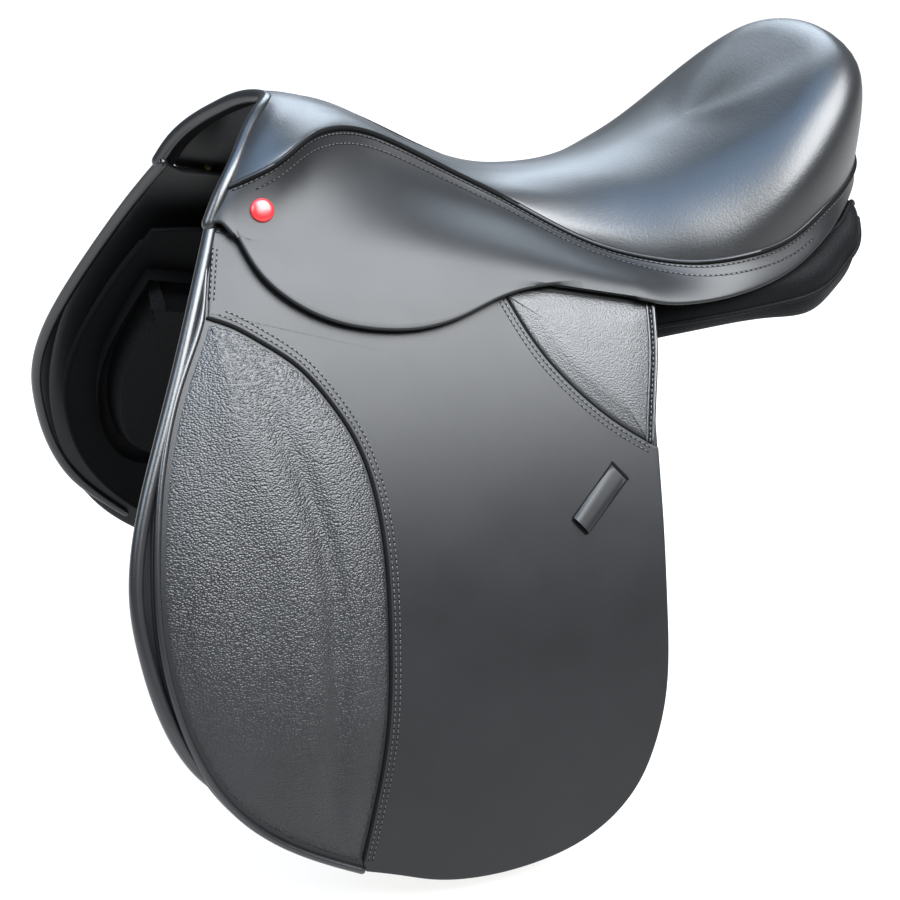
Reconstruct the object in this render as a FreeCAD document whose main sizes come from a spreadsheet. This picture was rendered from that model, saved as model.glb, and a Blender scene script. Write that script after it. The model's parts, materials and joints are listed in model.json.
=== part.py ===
import FreeCAD, Part
import math
import os
from FreeCAD import Placement, Rotation, Vector

# English saddle, in millimetres.  +X points forward to the pommel, +Y to the near (left) side and +Z up.
# The origin is on the centre plane, under the lowest point of the seat, at the height of the horse's back.
# Both sides hang on one round barrel shape, so each leather layer is a band at its own depth from the
# flap's outer face, cut to its outline.  The far side mirrors the near side.

SIZES = [
    ("saddle_length", 574.0, "from the flap's front edge to the back of the cantle"),
    ("half_width", 247.0, "centre plane to the flap's outer face at its widest"),
    ("shoulder_half", 74.5, "centre plane to the flap's outer face at shoulder level"),
    ("shoulder_level", 91.0, "height where the flaps leave the pommel"),
    ("widest_drop", 330.0, "depth at which the flaps stand widest"),
    ("flap_drop", 319.0, "depth of the flap's lowest edge"),
    ("cantle_rise", 182.0, "height of the cantle's top"),
    ("flap_thick", 4.0, "flap leather"),
    ("skirt_gap", 4.5, "room for the stirrup leather between flap and skirt"),
    ("skirt_thick", 3.5, "skirt leather"),
    ("girth_gap", 16.0, "room for the girth straps between flap and sweat flap"),
    ("sweat_thick", 4.0, "sweat flap leather"),
    ("fold_gap", 0.8, "clearance along the fold line"),
    ("strap_width", 25.0, "girth strap"),
    ("strap_thick", 4.0, "girth strap"),
    ("strap_pitch", 31.0, "from one girth strap to the next"),
    ("strap_hole", 2.5, "radius of a buckle hole"),
    ("hole_pitch", 25.0, "from one buckle hole to the next"),
    ("strap_length", 292.0, "height of a hanging girth strap"),
    ("guard_play", 1.4, "between the straps and the buckle guard"),
    ("guard_thick", 2.4, "buckle guard leather"),
    ("guard_height", 78.0, "buckle guard"),
    ("pad_thick", 3.6, "knee roll insert"),
    ("patch_thick", 2.2, "thigh patch"),
    ("keeper_width", 14.0, "keeper loop"),
    ("keeper_rise", 4.2, "room under the keeper loop"),
    ("keeper_thick", 1.8, "keeper loop leather"),
    ("piping_thick", 7.0, "rolled edge along the flap's front"),
    ("inner_piping", 4.0, "piping inside the rolled edge"),
    ("welt_radius", 2.2, "welt in the seat seam"),
    ("cover_thick", 3.0, "seat leather"),
    ("foam_thick", 16.0, "seat foam"),
    ("rail_width", 18.0, "spring rail of the tree"),
    ("rail_thick", 6.0, "spring rail of the tree"),
    ("rail_inset", 34.0, "centre plane to the rail"),
    ("arch_radius", 56.0, "outside of the tree's head"),
    ("arch_thick", 10.0, "tree's head"),
    ("head_length", 22.0, "tree's head, front to back"),
    ("point_thick", 9.0, "point of the tree"),
    ("plate_thick", 3.0, "steel gullet plate"),
    ("screw_radius", 2.5, "gullet plate screw"),
    ("bar_length", 80.0, "stirrup bar"),
    ("bar_thick", 5.0, "stirrup bar, across"),
    ("bar_height", 10.0, "stirrup bar, up"),
    ("bar_slot", 9.0, "room for the stirrup leather behind the bar"),
    ("bar_plate", 3.0, "stirrup bar's plate"),
    ("catch_length", 9.0, "thumb catch, above its pin"),
    ("catch_width", 3.5, "thumb catch, across"),
    ("catch_pin", 1.5, "radius of the thumb catch's pin"),
    ("turning_gap", 0.3, "between pieces that turn on each other"),
    ("rivet_radius", 2.0, "stirrup bar rivet"),
    ("web_thick", 1.6, "webbing"),
    ("ring_radius", 11.0, "middle of a dee ring's wire"),
    ("ring_wire", 1.2, "radius of a dee ring's wire"),
    ("stud_radius", 8.0, "skirt stud"),
    ("stud_height", 4.0, "skirt stud"),
    ("clearance", 0.4, "between pieces that only lie together"),
]

doc = FreeCAD.newDocument("english_saddle")
sheet = doc.addObject("Spreadsheet::Sheet", "Sizes")
for row, (alias, value, note) in enumerate(SIZES, start=1):
    sheet.set(f"A{row}", alias)
    sheet.set(f"B{row}", str(value))
    sheet.set(f"C{row}", note)
    sheet.setAlias(f"B{row}", alias)
doc.recompute()
size = {alias: float(sheet.get(alias)) for alias, _, _ in SIZES}

# ---------------------------------------------------------------- driving curves

DRAWN_LENGTH, DRAWN_DROP, DRAWN_SHOULDER, DRAWN_RISE = 574.0, 319.0, 91.0, 182.0
SIDE_STEP = size["half_width"] - size["shoulder_half"]
SIDE_FALL = size["shoulder_level"] + size["widest_drop"]
BARREL = (SIDE_STEP**2 + SIDE_FALL**2) / (2 * SIDE_STEP)
BARREL_Y = size["half_width"] - BARREL
BARREL_Z = -size["widest_drop"]
STEP_TEXT = "(Sizes.half_width - Sizes.shoulder_half)"
FALL_TEXT = "(Sizes.shoulder_level + Sizes.widest_drop)"
BARREL_TEXT = f"(({STEP_TEXT} ^ 2 + {FALL_TEXT} ^ 2) / (2 * {STEP_TEXT}))"


def along(x):
    """A place along the saddle, drawn at its usual length, at the length in the sheet."""
    return x * size["saddle_length"] / DRAWN_LENGTH


def flap_level(z):
    """A height on the flaps or skirts."""
    if z < 0:
        return z * size["flap_drop"] / DRAWN_DROP
    return z * size["shoulder_level"] / DRAWN_SHOULDER


def seat_level(z):
    """A height on the seat, the tree or the panels."""
    return z * size["cantle_rise"] / DRAWN_RISE


def barrel_y(z, depth=0.0):
    """Distance from the centre plane to the barrel face at height z; depth is positive outwards."""
    return BARREL_Y + math.sqrt((BARREL + depth) ** 2 - (z - BARREL_Z) ** 2)


SKIRT_IN = size["skirt_gap"]
SKIRT_OUT = SKIRT_IN + size["skirt_thick"]
SWEAT_OUT = -size["flap_thick"] - size["girth_gap"]
SWEAT_IN = SWEAT_OUT - size["sweat_thick"]
STRAP_MID = -size["flap_thick"] - size["girth_gap"] / 2
STRAP_OUT = STRAP_MID + size["strap_thick"] / 2
STRAP_IN = STRAP_MID - size["strap_thick"] / 2
POINT_OUT = SWEAT_IN - 3.0
POINT_IN = POINT_OUT - size["point_thick"]

FOLD_FRONT, FOLD_REAR = (236.0, 86.0), (-60.0, 31.5)


def fold_level(x):
    """Height of the fold line, which the flap and skirt turn about, at a drawn place x."""
    share = (x - FOLD_REAR[0]) / (FOLD_FRONT[0] - FOLD_REAR[0])
    return flap_level(FOLD_REAR[1] + share * (FOLD_FRONT[1] - FOLD_REAR[1]))


def fold_point(x, rise=0.0):
    """The point of the straight fold line at a drawn place x, raised a little along the skirt."""
    ends = [barrel_y(flap_level(level), SKIRT_OUT) for _, level in (FOLD_FRONT, FOLD_REAR)]
    share = (x - FOLD_REAR[0]) / (FOLD_FRONT[0] - FOLD_REAR[0])
    return Vector(along(x), ends[1] + share * (ends[0] - ends[1]), fold_level(x) + rise)


# ---------------------------------------------------------------- builders

pieces = {}


def finish(obj, label):
    """Names a finished piece."""
    obj.Label = label
    pieces[label] = obj
    return obj


def mirrored(obj, label):
    """The far-side twin of a near-side piece."""
    twin = doc.addObject("Part::Mirroring", label)
    twin.Source = obj
    twin.Normal = Vector(0, 1, 0)
    return finish(twin, label)


def both(obj, name):
    """Finishes a near piece and its far twin."""
    finish(obj, f"{name}_near")
    mirrored(obj, f"{name}_far")


def cylinder(name, radius, height, base, axis):
    """A bound cylinder: radius and height are expressions, base and axis set its place."""
    obj = doc.addObject("Part::Cylinder", name)
    obj.setExpression("Radius", radius)
    obj.setExpression("Height", height)
    obj.Placement = Placement(base, Rotation(Vector(0, 0, 1), axis))
    return obj


def box(name, x, y, z, length, width, height):
    """A bound box: its low corner, then three expressions for its sides."""
    obj = doc.addObject("Part::Box", name)
    obj.Placement = Placement(Vector(x, y, z), Rotation())
    obj.setExpression("Length", length)
    obj.setExpression("Width", width)
    obj.setExpression("Height", height)
    return obj


def cut(name, base, tool):
    obj = doc.addObject("Part::Cut", name)
    obj.Base, obj.Tool = base, tool
    return obj


def common(name, base, tool):
    obj = doc.addObject("Part::Common", name)
    obj.Base, obj.Tool = base, tool
    return obj


def fuse(name, shapes):
    obj = doc.addObject("Part::MultiFuse", name)
    obj.Shapes = shapes
    return obj


def shaped(name, shape):
    """A piece that no primitive or sketch describes."""
    obj = doc.addObject("Part::Feature", name)
    obj.Shape = shape
    obj.Placement = Placement()
    return obj


def band(name, inner, outer):
    """A layer of leather round the barrel, between two depths given as expressions."""
    start = Vector(-size["saddle_length"], BARREL_Y, BARREL_Z)
    run = "2 * Sizes.saddle_length"
    whole = cylinder(name + "_outer", f"{BARREL_TEXT} + {outer}", run, start, Vector(1, 0, 0))
    core = cylinder(name + "_inner", f"{BARREL_TEXT} + {inner}", run, start, Vector(1, 0, 0))
    return cut(name, whole, core)


def side_view(name, *runs):
    """A block as wide as the near side, cut to an outline seen from the side.

    Each run is a list of (x, z) points: two make a straight edge, more make a smooth curve."""
    edges = []
    for run in runs:
        points = [Vector(x, 0, z) for x, z in run]
        if len(points) == 2:
            edges.append(Part.makeLine(points[0], points[1]))
        else:
            curve = Part.BSplineCurve()
            curve.interpolate(points)
            edges.append(curve.toShape())
    outline = shaped(name + "_outline", Part.Wire(edges))
    block = doc.addObject("Part::Extrusion", name + "_block")
    block.Base = outline
    block.DirMode = "Custom"
    block.Dir = Vector(0, 1, 0)
    block.setExpression("LengthFwd", "2 * Sizes.half_width")
    block.Solid = True
    return block


def leather(name, inner, outer, *runs):
    """A piece of leather on the barrel: a band cut to its outline."""
    return common(name, band(name + "_band", inner, outer), side_view(name, *runs))


def loft(sections):
    """A solid through closed polygons that all have the same number of corners."""
    wires = [Part.makePolygon([*corners, corners[0]]) for corners in sections]
    return Part.makeLoft(wires, True, True)


def rod(path, radius, sides=8):
    """A straight-sided rod along a path, for piping: a polygon of the given radius at each point."""
    sections = []
    for i, here in enumerate(path):
        ahead = path[min(i + 1, len(path) - 1)] - path[max(i - 1, 0)]
        ahead.normalize()
        side = Vector(0, 0, 1).cross(ahead)
        side.normalize()
        over = ahead.cross(side)
        corners = []
        for k in range(sides):
            turn = 2 * math.pi * k / sides
            corners.append(here + side * (radius * math.cos(turn)) + over * (radius * math.sin(turn)))
        sections.append(corners)
    return loft(sections)


def flip(point):
    return Vector(point.x, -point.y, point.z)


def inset(run, distance):
    """Moves an open run of (x, z) points sideways, to the left of its direction."""
    moved = []
    for i, (x, z) in enumerate(run):
        ahead, behind = run[min(i + 1, len(run) - 1)], run[max(i - 1, 0)]
        dx, dz = ahead[0] - behind[0], ahead[1] - behind[1]
        length = math.hypot(dx, dz)
        moved.append((x - dz / length * distance, z + dx / length * distance))
    return moved


def levelled(run):
    """A drawn run of flap points at the sizes in the sheet."""
    return [(along(x), flap_level(z)) for x, z in run]


# ---------------------------------------------------------------- flaps

# Places on the flap seen from the side, as (x, z).
# The front edge runs from the fold to the bottom; the bottom and rear edge run on, up to the fold.
FLAP_FRONT = [(234, 84), (252, 51), (269, 15), (290, -30), (306, -72), (312, -110), (310, -135),
              (302, -172), (284, -211), (258, -240)]
FLAP_BOTTOM = [(258, -240), (222, -271), (172, -299), (130, -314), (95, -319), (53, -315), (25, -306),
               (3, -292), (-18, -267), (-28, -244), (-36, -213), (-40, -150), (-42, -98), (-47, -27),
               (-58, 27)]

# The middle of the inner piping, the seam behind the knee roll and the seam in front of the thigh patch.
PIPED_EDGE = [(244, 38), (255, 22), (267, 0), (277, -22), (285, -47), (291, -79), (294, -107), (294, -135),
              (290, -165), (282, -193), (269, -222), (248, -248), (220, -268), (193, -285), (178, -292)]
KNEE_SEAM = [(240, 36), (226, 32), (212, 24), (189, 8), (173, -10), (161, -30), (154, -50), (150, -75),
             (149, -101), (151, -148), (157, -210), (167, -256), (174, -281)]
PATCH_SEAM = [(36, 22), (28, 9), (5, -19), (-14, -35), (-39, -51)]
ROLL_SINK = 1.5
PAD_VALLEY = 1.5


def under_fold(x):
    """The point just below the fold line at a drawn place x."""
    return (along(x), fold_level(x) - size["fold_gap"])


def ribbon(run, start, width):
    """The outline of a narrow strip that starts at a distance to the right of a run."""
    outer, inner = inset(run, -start), inset(run, -start - width)
    return [outer, [outer[-1], inner[-1]], inner[::-1], [inner[0], outer[0]]]


def make_flaps():
    """Flap, its rolled front edge, the knee roll insert, the thigh patch and the keeper loop."""
    front = levelled(FLAP_FRONT)
    bottom = levelled(FLAP_BOTTOM)
    body_front = inset(front, -size["piping_thick"] - size["clearance"])
    body_front[0] = (body_front[0][0], fold_level(230) - size["fold_gap"])
    step = 3.0
    bottom[0] = (bottom[0][0] - step, bottom[0][1] - step)
    body_front[-1] = (body_front[-1][0] - step, body_front[-1][1] - step)
    join = [body_front[-1], bottom[0]]
    flap = leather("flap_sheet", "-Sizes.flap_thick", "0",
                   body_front, join, bottom, [bottom[-1], under_fold(-58)],
                   [under_fold(-58), body_front[0]])

    roll_inner = inset(front, -size["piping_thick"])
    roll = leather("front_roll", f"-Sizes.flap_thick - {ROLL_SINK}",
                   f"Sizes.piping_thick - Sizes.flap_thick - {ROLL_SINK}",
                   front, [front[-1], roll_inner[-1]], roll_inner[::-1], [roll_inner[0], front[0]])
    both(cut("flap_trimmed", flap, roll), "flap")
    edge = levelled(PIPED_EDGE)
    line = leather("knee_piping", "Sizes.clearance", "Sizes.clearance + Sizes.inner_piping",
                   *ribbon(edge, -size["inner_piping"] / 2, size["inner_piping"]))
    piping = doc.addObject("Part::Compound", "flap_piping_group")
    piping.Links = [roll, line]
    both(piping, "flap_piping")

    pad_front = inset(edge, -size["inner_piping"] / 2 - PAD_VALLEY)[:-1]
    pad_rear = levelled(KNEE_SEAM)
    pad = leather("knee_pad", "Sizes.clearance", "Sizes.clearance + Sizes.pad_thick",
                  pad_front, [pad_front[-1], pad_rear[-1]], pad_rear[::-1], [pad_rear[0], pad_front[0]])
    both(cut("knee_pad_trimmed", pad, roll), "knee_roll")

    patch_edge = levelled(PATCH_SEAM)
    patch_rear = levelled([PATCH_SEAM[-1], (-43, -24), (-50, 18)])
    patch = leather("patch_sheet", "Sizes.clearance", "Sizes.clearance + Sizes.patch_thick",
                    patch_edge, patch_rear, [patch_rear[-1], patch_edge[0]])
    both(patch, "thigh_patch")

    low, high = Vector(along(17), 0, flap_level(-94)), Vector(along(-13), 0, flap_level(-67))
    lengthwise = (high - low).normalize()
    across = lengthwise.cross(Vector(0, 1, 0)) * (size["keeper_width"] / 2)
    bridge = leather("keeper_strip", "Sizes.clearance", "Sizes.keeper_rise + Sizes.keeper_thick",
                     *strip_outline(low, high, across))
    reach, open_share = lengthwise * size["keeper_width"], 0.72
    mouth = leather("keeper_mouth", "-Sizes.flap_thick / 2", "Sizes.keeper_rise",
                    *strip_outline(low - reach, high + reach, across * open_share))
    both(cut("keeper", bridge, mouth), "keeper_loop")


def strip_outline(low, high, across):
    """The four straight edges of a strip between two points, seen from the side."""
    corners = [low - across, high - across, high + across, low + across]
    spots = [(p.x, p.z) for p in corners]
    return [[spots[i], spots[(i + 1) % 4]] for i in range(4)]


# ---------------------------------------------------------------- skirts

SKIRT_EDGE = [(213, 75), (205, 59), (190, 45), (167, 33), (139, 26), (109, 24), (81, 28), (52, 36.5),
              (23, 40.5), (2, 40.4)]
SEAM = [(221, 70, 105), (203, 77, 115), (184, 75, 124), (160, 58, 134), (137, 42, 135), (114, 31, 129),
        (88, 28, 117), (54, 32, 99), (22, 44, 83), (-8, 62, 67), (-39, 82, 54), (-67, 100, 49),
        (-95, 114, 48), (-130, 122, 53), (-163, 118, 61), (-190, 108, 76), (-214, 90, 84), (-246, 54, 93),
        (-262, 0, 99)]
REAR_EDGE = [(-67, 136, 30), (-95, 136, 29.5), (-132, 133, 34), (-167, 125, 45), (-196, 112, 62),
             (-218, 92, 72), (-246, 55, 83), (-260, 0, 89)]


def seam_point(spot):
    x, y, z = spot
    return Vector(along(x), y, seat_level(z))


def skirt_quad(seam, x_low):
    """Four corners of the skirt's section: from the seam down to just above the fold line."""
    low_out = fold_point(x_low, 0.3)
    inward = Vector(0, barrel_y(low_out.z, SKIRT_IN) - barrel_y(low_out.z, SKIRT_OUT), 0)
    top_out = seam_point(seam)
    return [top_out, low_out, low_out + inward, top_out + inward]


def make_skirts():
    """The fixed skirt under the seat's seam, and the lobe that lifts off the stirrup bar."""
    sections = []
    for spot, x_low in zip(SEAM[:11], [230, 203, 184, 160, 137, 114, 88, 54, 22, -8, -39]):
        sections.append(skirt_quad(spot, x_low))
    for spot, low in zip(SEAM[11:], REAR_EDGE):
        top, bottom = seam_point(spot), Vector(along(low[0]), low[1], flap_level(low[2]))
        if spot[1] == 0:
            top.y = bottom.y = size["clearance"]
        ahead = Vector(-1, 0, 0) if spot[0] > -150 else Vector(-0.6, -0.8, 0)
        if spot[0] < -240:
            ahead = Vector(0, -1, 0)
        inward = ahead.cross(bottom - top).normalize() * size["skirt_thick"]
        sections.append([top, bottom, bottom + inward, top + inward])
    both(shaped("skirt_top", loft(sections)), "skirt_top")

    edge = [under_fold(229), *levelled(SKIRT_EDGE)]
    end = under_fold(2)
    lobe = leather("skirt_lobe", "Sizes.skirt_gap", "Sizes.skirt_gap + Sizes.skirt_thick",
                   edge, [edge[-1], end], [end, edge[0]])
    both(lobe, "skirt")

    path = [seam_point(s) for s in SEAM]
    whole = path + [flip(p) for p in path[-2::-1]]
    finish(shaped("seat_welt", rod(whole, size["welt_radius"])), "seat_welt")

    arch = [(174, 0, 147), (183, 20, 144), (197, 40, 133), (210, 60, 119), (223, 72, 104), (233, 80, 88.5)]
    near = [Vector(along(x), y, seat_level(z)) for x, y, z in arch]
    whole = near[::-1] + [flip(p) for p in near[1:]]
    finish(shaped("pommel_piping", rod(whole, size["piping_thick"] / 2)), "pommel_piping")


# ---------------------------------------------------------------- seat

RAIL_LEVEL = 56.0

# Each station: centre (x, z), rim top (y, z), bulge (y, z), seam (x, y, z).
SEAT = [
    ((174, 150), (45, 131), (62, 116), (221, 69, 106)),
    ((163, 149), (50, 139), (68, 130), (188, 74, 123.5)),
    ((150, 146.5), (38, 143.5), (52, 139), (160, 57, 135)),
    ((134, 142), (27, 141), (37, 138.5), (137, 41, 136)),
    ((112, 133), (20, 133), (28, 131.5), (114, 30, 130)),
    ((88, 118.5), (18, 119.5), (25.5, 119), (88, 27, 118)),
    ((54, 102), (20, 103), (29, 101.5), (54, 31, 100)),
    ((22, 91.5), (27, 92.5), (39, 89), (22, 43, 84)),
    ((-8, 89), (40, 89), (57, 79), (-8, 61, 68)),
    ((-39, 91), (58, 86), (78, 70), (-39, 81, 55)),
    ((-67, 96), (72, 88), (93, 72), (-67, 99, 50)),
    ((-95, 104), (82, 97), (106, 78), (-95, 113, 49)),
    ((-130, 118), (92, 112), (116, 90), (-130, 121, 54)),
    ((-163, 137), (98, 131), (118, 108), (-163, 117, 62)),
    ((-190, 156), (92, 154), (106, 140), (-190, 107, 77)),
    ((-214, 174), (68, 172), (88, 155), (-214, 89, 85)),
    ((-228, 181), (50, 178), (68, 165), (-228, 73, 89)),
    ((-242, 155), (42, 150), (57, 135), (-242, 59, 92)),
    ((-254, 122), (30, 119), (40, 110), (-254, 42, 96)),
    ((-262, 104), (12, 103), (16, 101), (-262, 17, 99)),
]


def seat_section(station, depth, floor_drop=0.0):
    """One closed section of the seat, drawn in by a depth under its leather."""
    (xc, zc), rim, bulge, (xs, ys, zs) = station
    lean = (xs - xc) / max(zc - zs, 1.0)
    half = [(0.0, zc - depth), (rim[0] * 0.55, (zc + rim[1]) / 2 + 1.0 - depth),
            (rim[0] - depth * 0.3, rim[1] - depth), (bulge[0] - depth * 0.75, bulge[1] - depth * 0.75),
            (ys - depth, zs - floor_drop)]
    low = half[-1][1]
    half = [(max(y, 0.0), max(z, low + 0.2 * (4 - k))) for k, (y, z) in enumerate(half[:-1])] + [half[-1]]
    ring = half + [(-y, z) for y, z in half[:0:-1]]
    return [Vector(along(xc + lean * (zc - z)), y, seat_level(z)) for y, z in ring]


def tree_half_width():
    """Centre plane to the outer side of a rail."""
    return size["rail_inset"] + size["rail_width"]


def make_seat():
    """Leather cover, foam, and the webbing that carries them."""
    outer = loft([seat_section(s, 0.0) for s in SEAT])
    skin = size["cover_thick"]
    hollow = loft([seat_section(s, skin, 3.0) for s in SEAT[:-1]])
    finish(shaped("seat_cover", outer.cut(hollow)), "seat_cover")

    gap = skin + size["clearance"]
    padding = loft([seat_section(s, gap, -0.8) for s in SEAT[1:-2]])
    under = loft([seat_section(s, gap + size["foam_thick"], 60.0) for s in SEAT[5:-3]])
    half, level = tree_half_width() + 1.5, seat_level(RAIL_LEVEL) - 5
    tree_room = Part.makeBox(along(345), 2 * half, size["rail_thick"] + size["web_thick"] + 6,
                             Vector(along(-198), -half, level))
    cover = pieces["seat_cover"].Shape
    finish(shaped("seat_foam", padding.cut(under).cut(tree_room).cut(cover)), "seat_foam")


# ---------------------------------------------------------------- tree

HEAD_X, HEAD_CENTRE = 150.0, 68.0


def half_ring(name, radius, thick, length, x, level):
    """An upright half ring that stands across the saddle, open downwards."""
    base = Vector(x, 0, level)
    whole = cylinder(name + "_out", radius, length, base, Vector(1, 0, 0))
    core = cylinder(name + "_in", f"{radius} - {thick}", length, base, Vector(1, 0, 0))
    keep = box(name + "_keep", x - 1, -2 * size["arch_radius"], level, "Sizes.head_length + 2",
               "4 * Sizes.arch_radius", "2 * Sizes.arch_radius")
    return common(name, cut(name + "_ring", whole, core), keep)


def make_tree():
    """Head with its points, cantle, spring rails, gullet plate and screws."""
    x, level = along(HEAD_X), seat_level(HEAD_CENTRE)
    arch = half_ring("head_arch", "Sizes.arch_radius", "Sizes.arch_thick", "Sizes.head_length", x, level)
    point_top, point_low = level + 0.5, flap_level(-10)
    span = [(x, point_low), (x + size["head_length"], point_low), (x + size["head_length"], point_top),
            (x, point_top)]
    edges = [[span[i], span[(i + 1) % 4]] for i in range(4)]
    point = leather("tree_point", str(POINT_IN), str(POINT_OUT), *edges)
    twin = doc.addObject("Part::Mirroring", "tree_point_far")
    twin.Source, twin.Normal = point, Vector(0, 1, 0)
    leg = box("head_leg", x, size["arch_radius"] - size["arch_thick"], level - 8,
              "Sizes.head_length", "Sizes.arch_thick", "8.2")
    leg_far = doc.addObject("Part::Mirroring", "head_leg_far")
    leg_far.Source, leg_far.Normal = leg, Vector(0, 1, 0)
    head = fuse("head_whole", [fuse("head_core", [arch, leg, leg_far]), point, twin])

    plate_radius = "(Sizes.arch_radius - Sizes.arch_thick - Sizes.clearance)"
    plate = half_ring("plate_arch", plate_radius, "Sizes.plate_thick", "Sizes.head_length - 6", x + 3, level)

    shanks, screws = [], []
    inner = size["arch_radius"] - size["arch_thick"] - size["clearance"] - size["plate_thick"]
    for k, turn in enumerate((-50, -25, 25, 50)):
        out = Vector(0, math.sin(math.radians(turn)), math.cos(math.radians(turn)))
        start = Vector(x + size["head_length"] / 2, 0, level) + out * (inner - 2.0)
        run = "Sizes.arch_thick + Sizes.plate_thick"
        shank = cylinder(f"screw_{k}", "Sizes.screw_radius", run, start, out)
        hole = cylinder(f"screw_hole_{k}", "Sizes.screw_radius + 0.1", f"{run} + 0.5", start, out)
        head_of = cylinder(f"screw_head_{k}", "Sizes.screw_radius * 1.9", "1.8", start, out)
        screws.append(fuse(f"screw_whole_{k}", [shank, head_of]))
        shanks.append(hole)
    holes = fuse("screw_holes", shanks)
    finish(cut("tree_head", head, holes), "tree_head")
    finish(cut("gullet_plate", plate, holes), "gullet_plate")
    group = doc.addObject("Part::Compound", "gullet_screws")
    group.Links = screws
    finish(group, "gullet_screws")

    rail = doc.addObject("PartDesign::Body", "tree_rail")
    base = next(f for f in rail.Origin.OriginFeatures if f.Role == "XZ_Plane")
    sketch = rail.newObject("Sketcher::SketchObject", "rail_side")
    sketch.AttachmentSupport = [(base, "")]
    sketch.MapMode = "FlatFace"
    low, thick = seat_level(RAIL_LEVEL), size["rail_thick"]
    kick = 14.0
    spots = [(along(HEAD_X - 1), low), (along(-150), low), (along(-196), low + kick),
             (along(-196), low + kick + thick), (along(-150), low + thick),
             (along(HEAD_X - 1), low + thick)]
    for i, (px, pz) in enumerate(spots):
        nx, nz = spots[(i + 1) % len(spots)]
        sketch.addGeometry(Part.LineSegment(Vector(px, pz, 0), Vector(nx, nz, 0)), False)
    pad = rail.newObject("PartDesign::Pad", "rail_pad")
    pad.Profile = sketch
    pad.setExpression("Length", "Sizes.rail_width")
    pad.Reversed = True
    rail.Placement = Placement(Vector(0, size["rail_inset"], 0), Rotation())
    both(rail, "tree_rail")

    skin = size["cover_thick"] + size["foam_thick"] + 2 * size["clearance"]
    core = loft([seat_section(s, skin, -1.5) for s in SEAT[11:17]])
    end = Part.makeBox(10, 600, 400, Vector(along(-228) - 9.5, -300, 0))
    room = box("cantle_room", along(-150), -300, 0, "400", "600", "400")
    hollow = loft([seat_section(s, skin + 12.0, 60.0) for s in SEAT[11:17]])
    doc.recompute()
    half = tree_half_width() + 1
    rails = Part.makeBox(along(60), 2 * half, 30, Vector(along(-200), -half, low - 4))
    finish(shaped("tree_cantle", core.cut(room.Shape).cut(hollow).cut(rails).cut(end)), "tree_cantle")

    width = tree_half_width() - 2
    web = box("seat_webbing", along(-140), -width, low + thick + 0.3, str(along(278)), str(2 * width),
              "Sizes.web_thick")
    finish(web, "seat_webbing")


CATCH_BACK = 4.0
TONGUE_THICK, TONGUE_RADIUS = 1.6, 3.0


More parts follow.
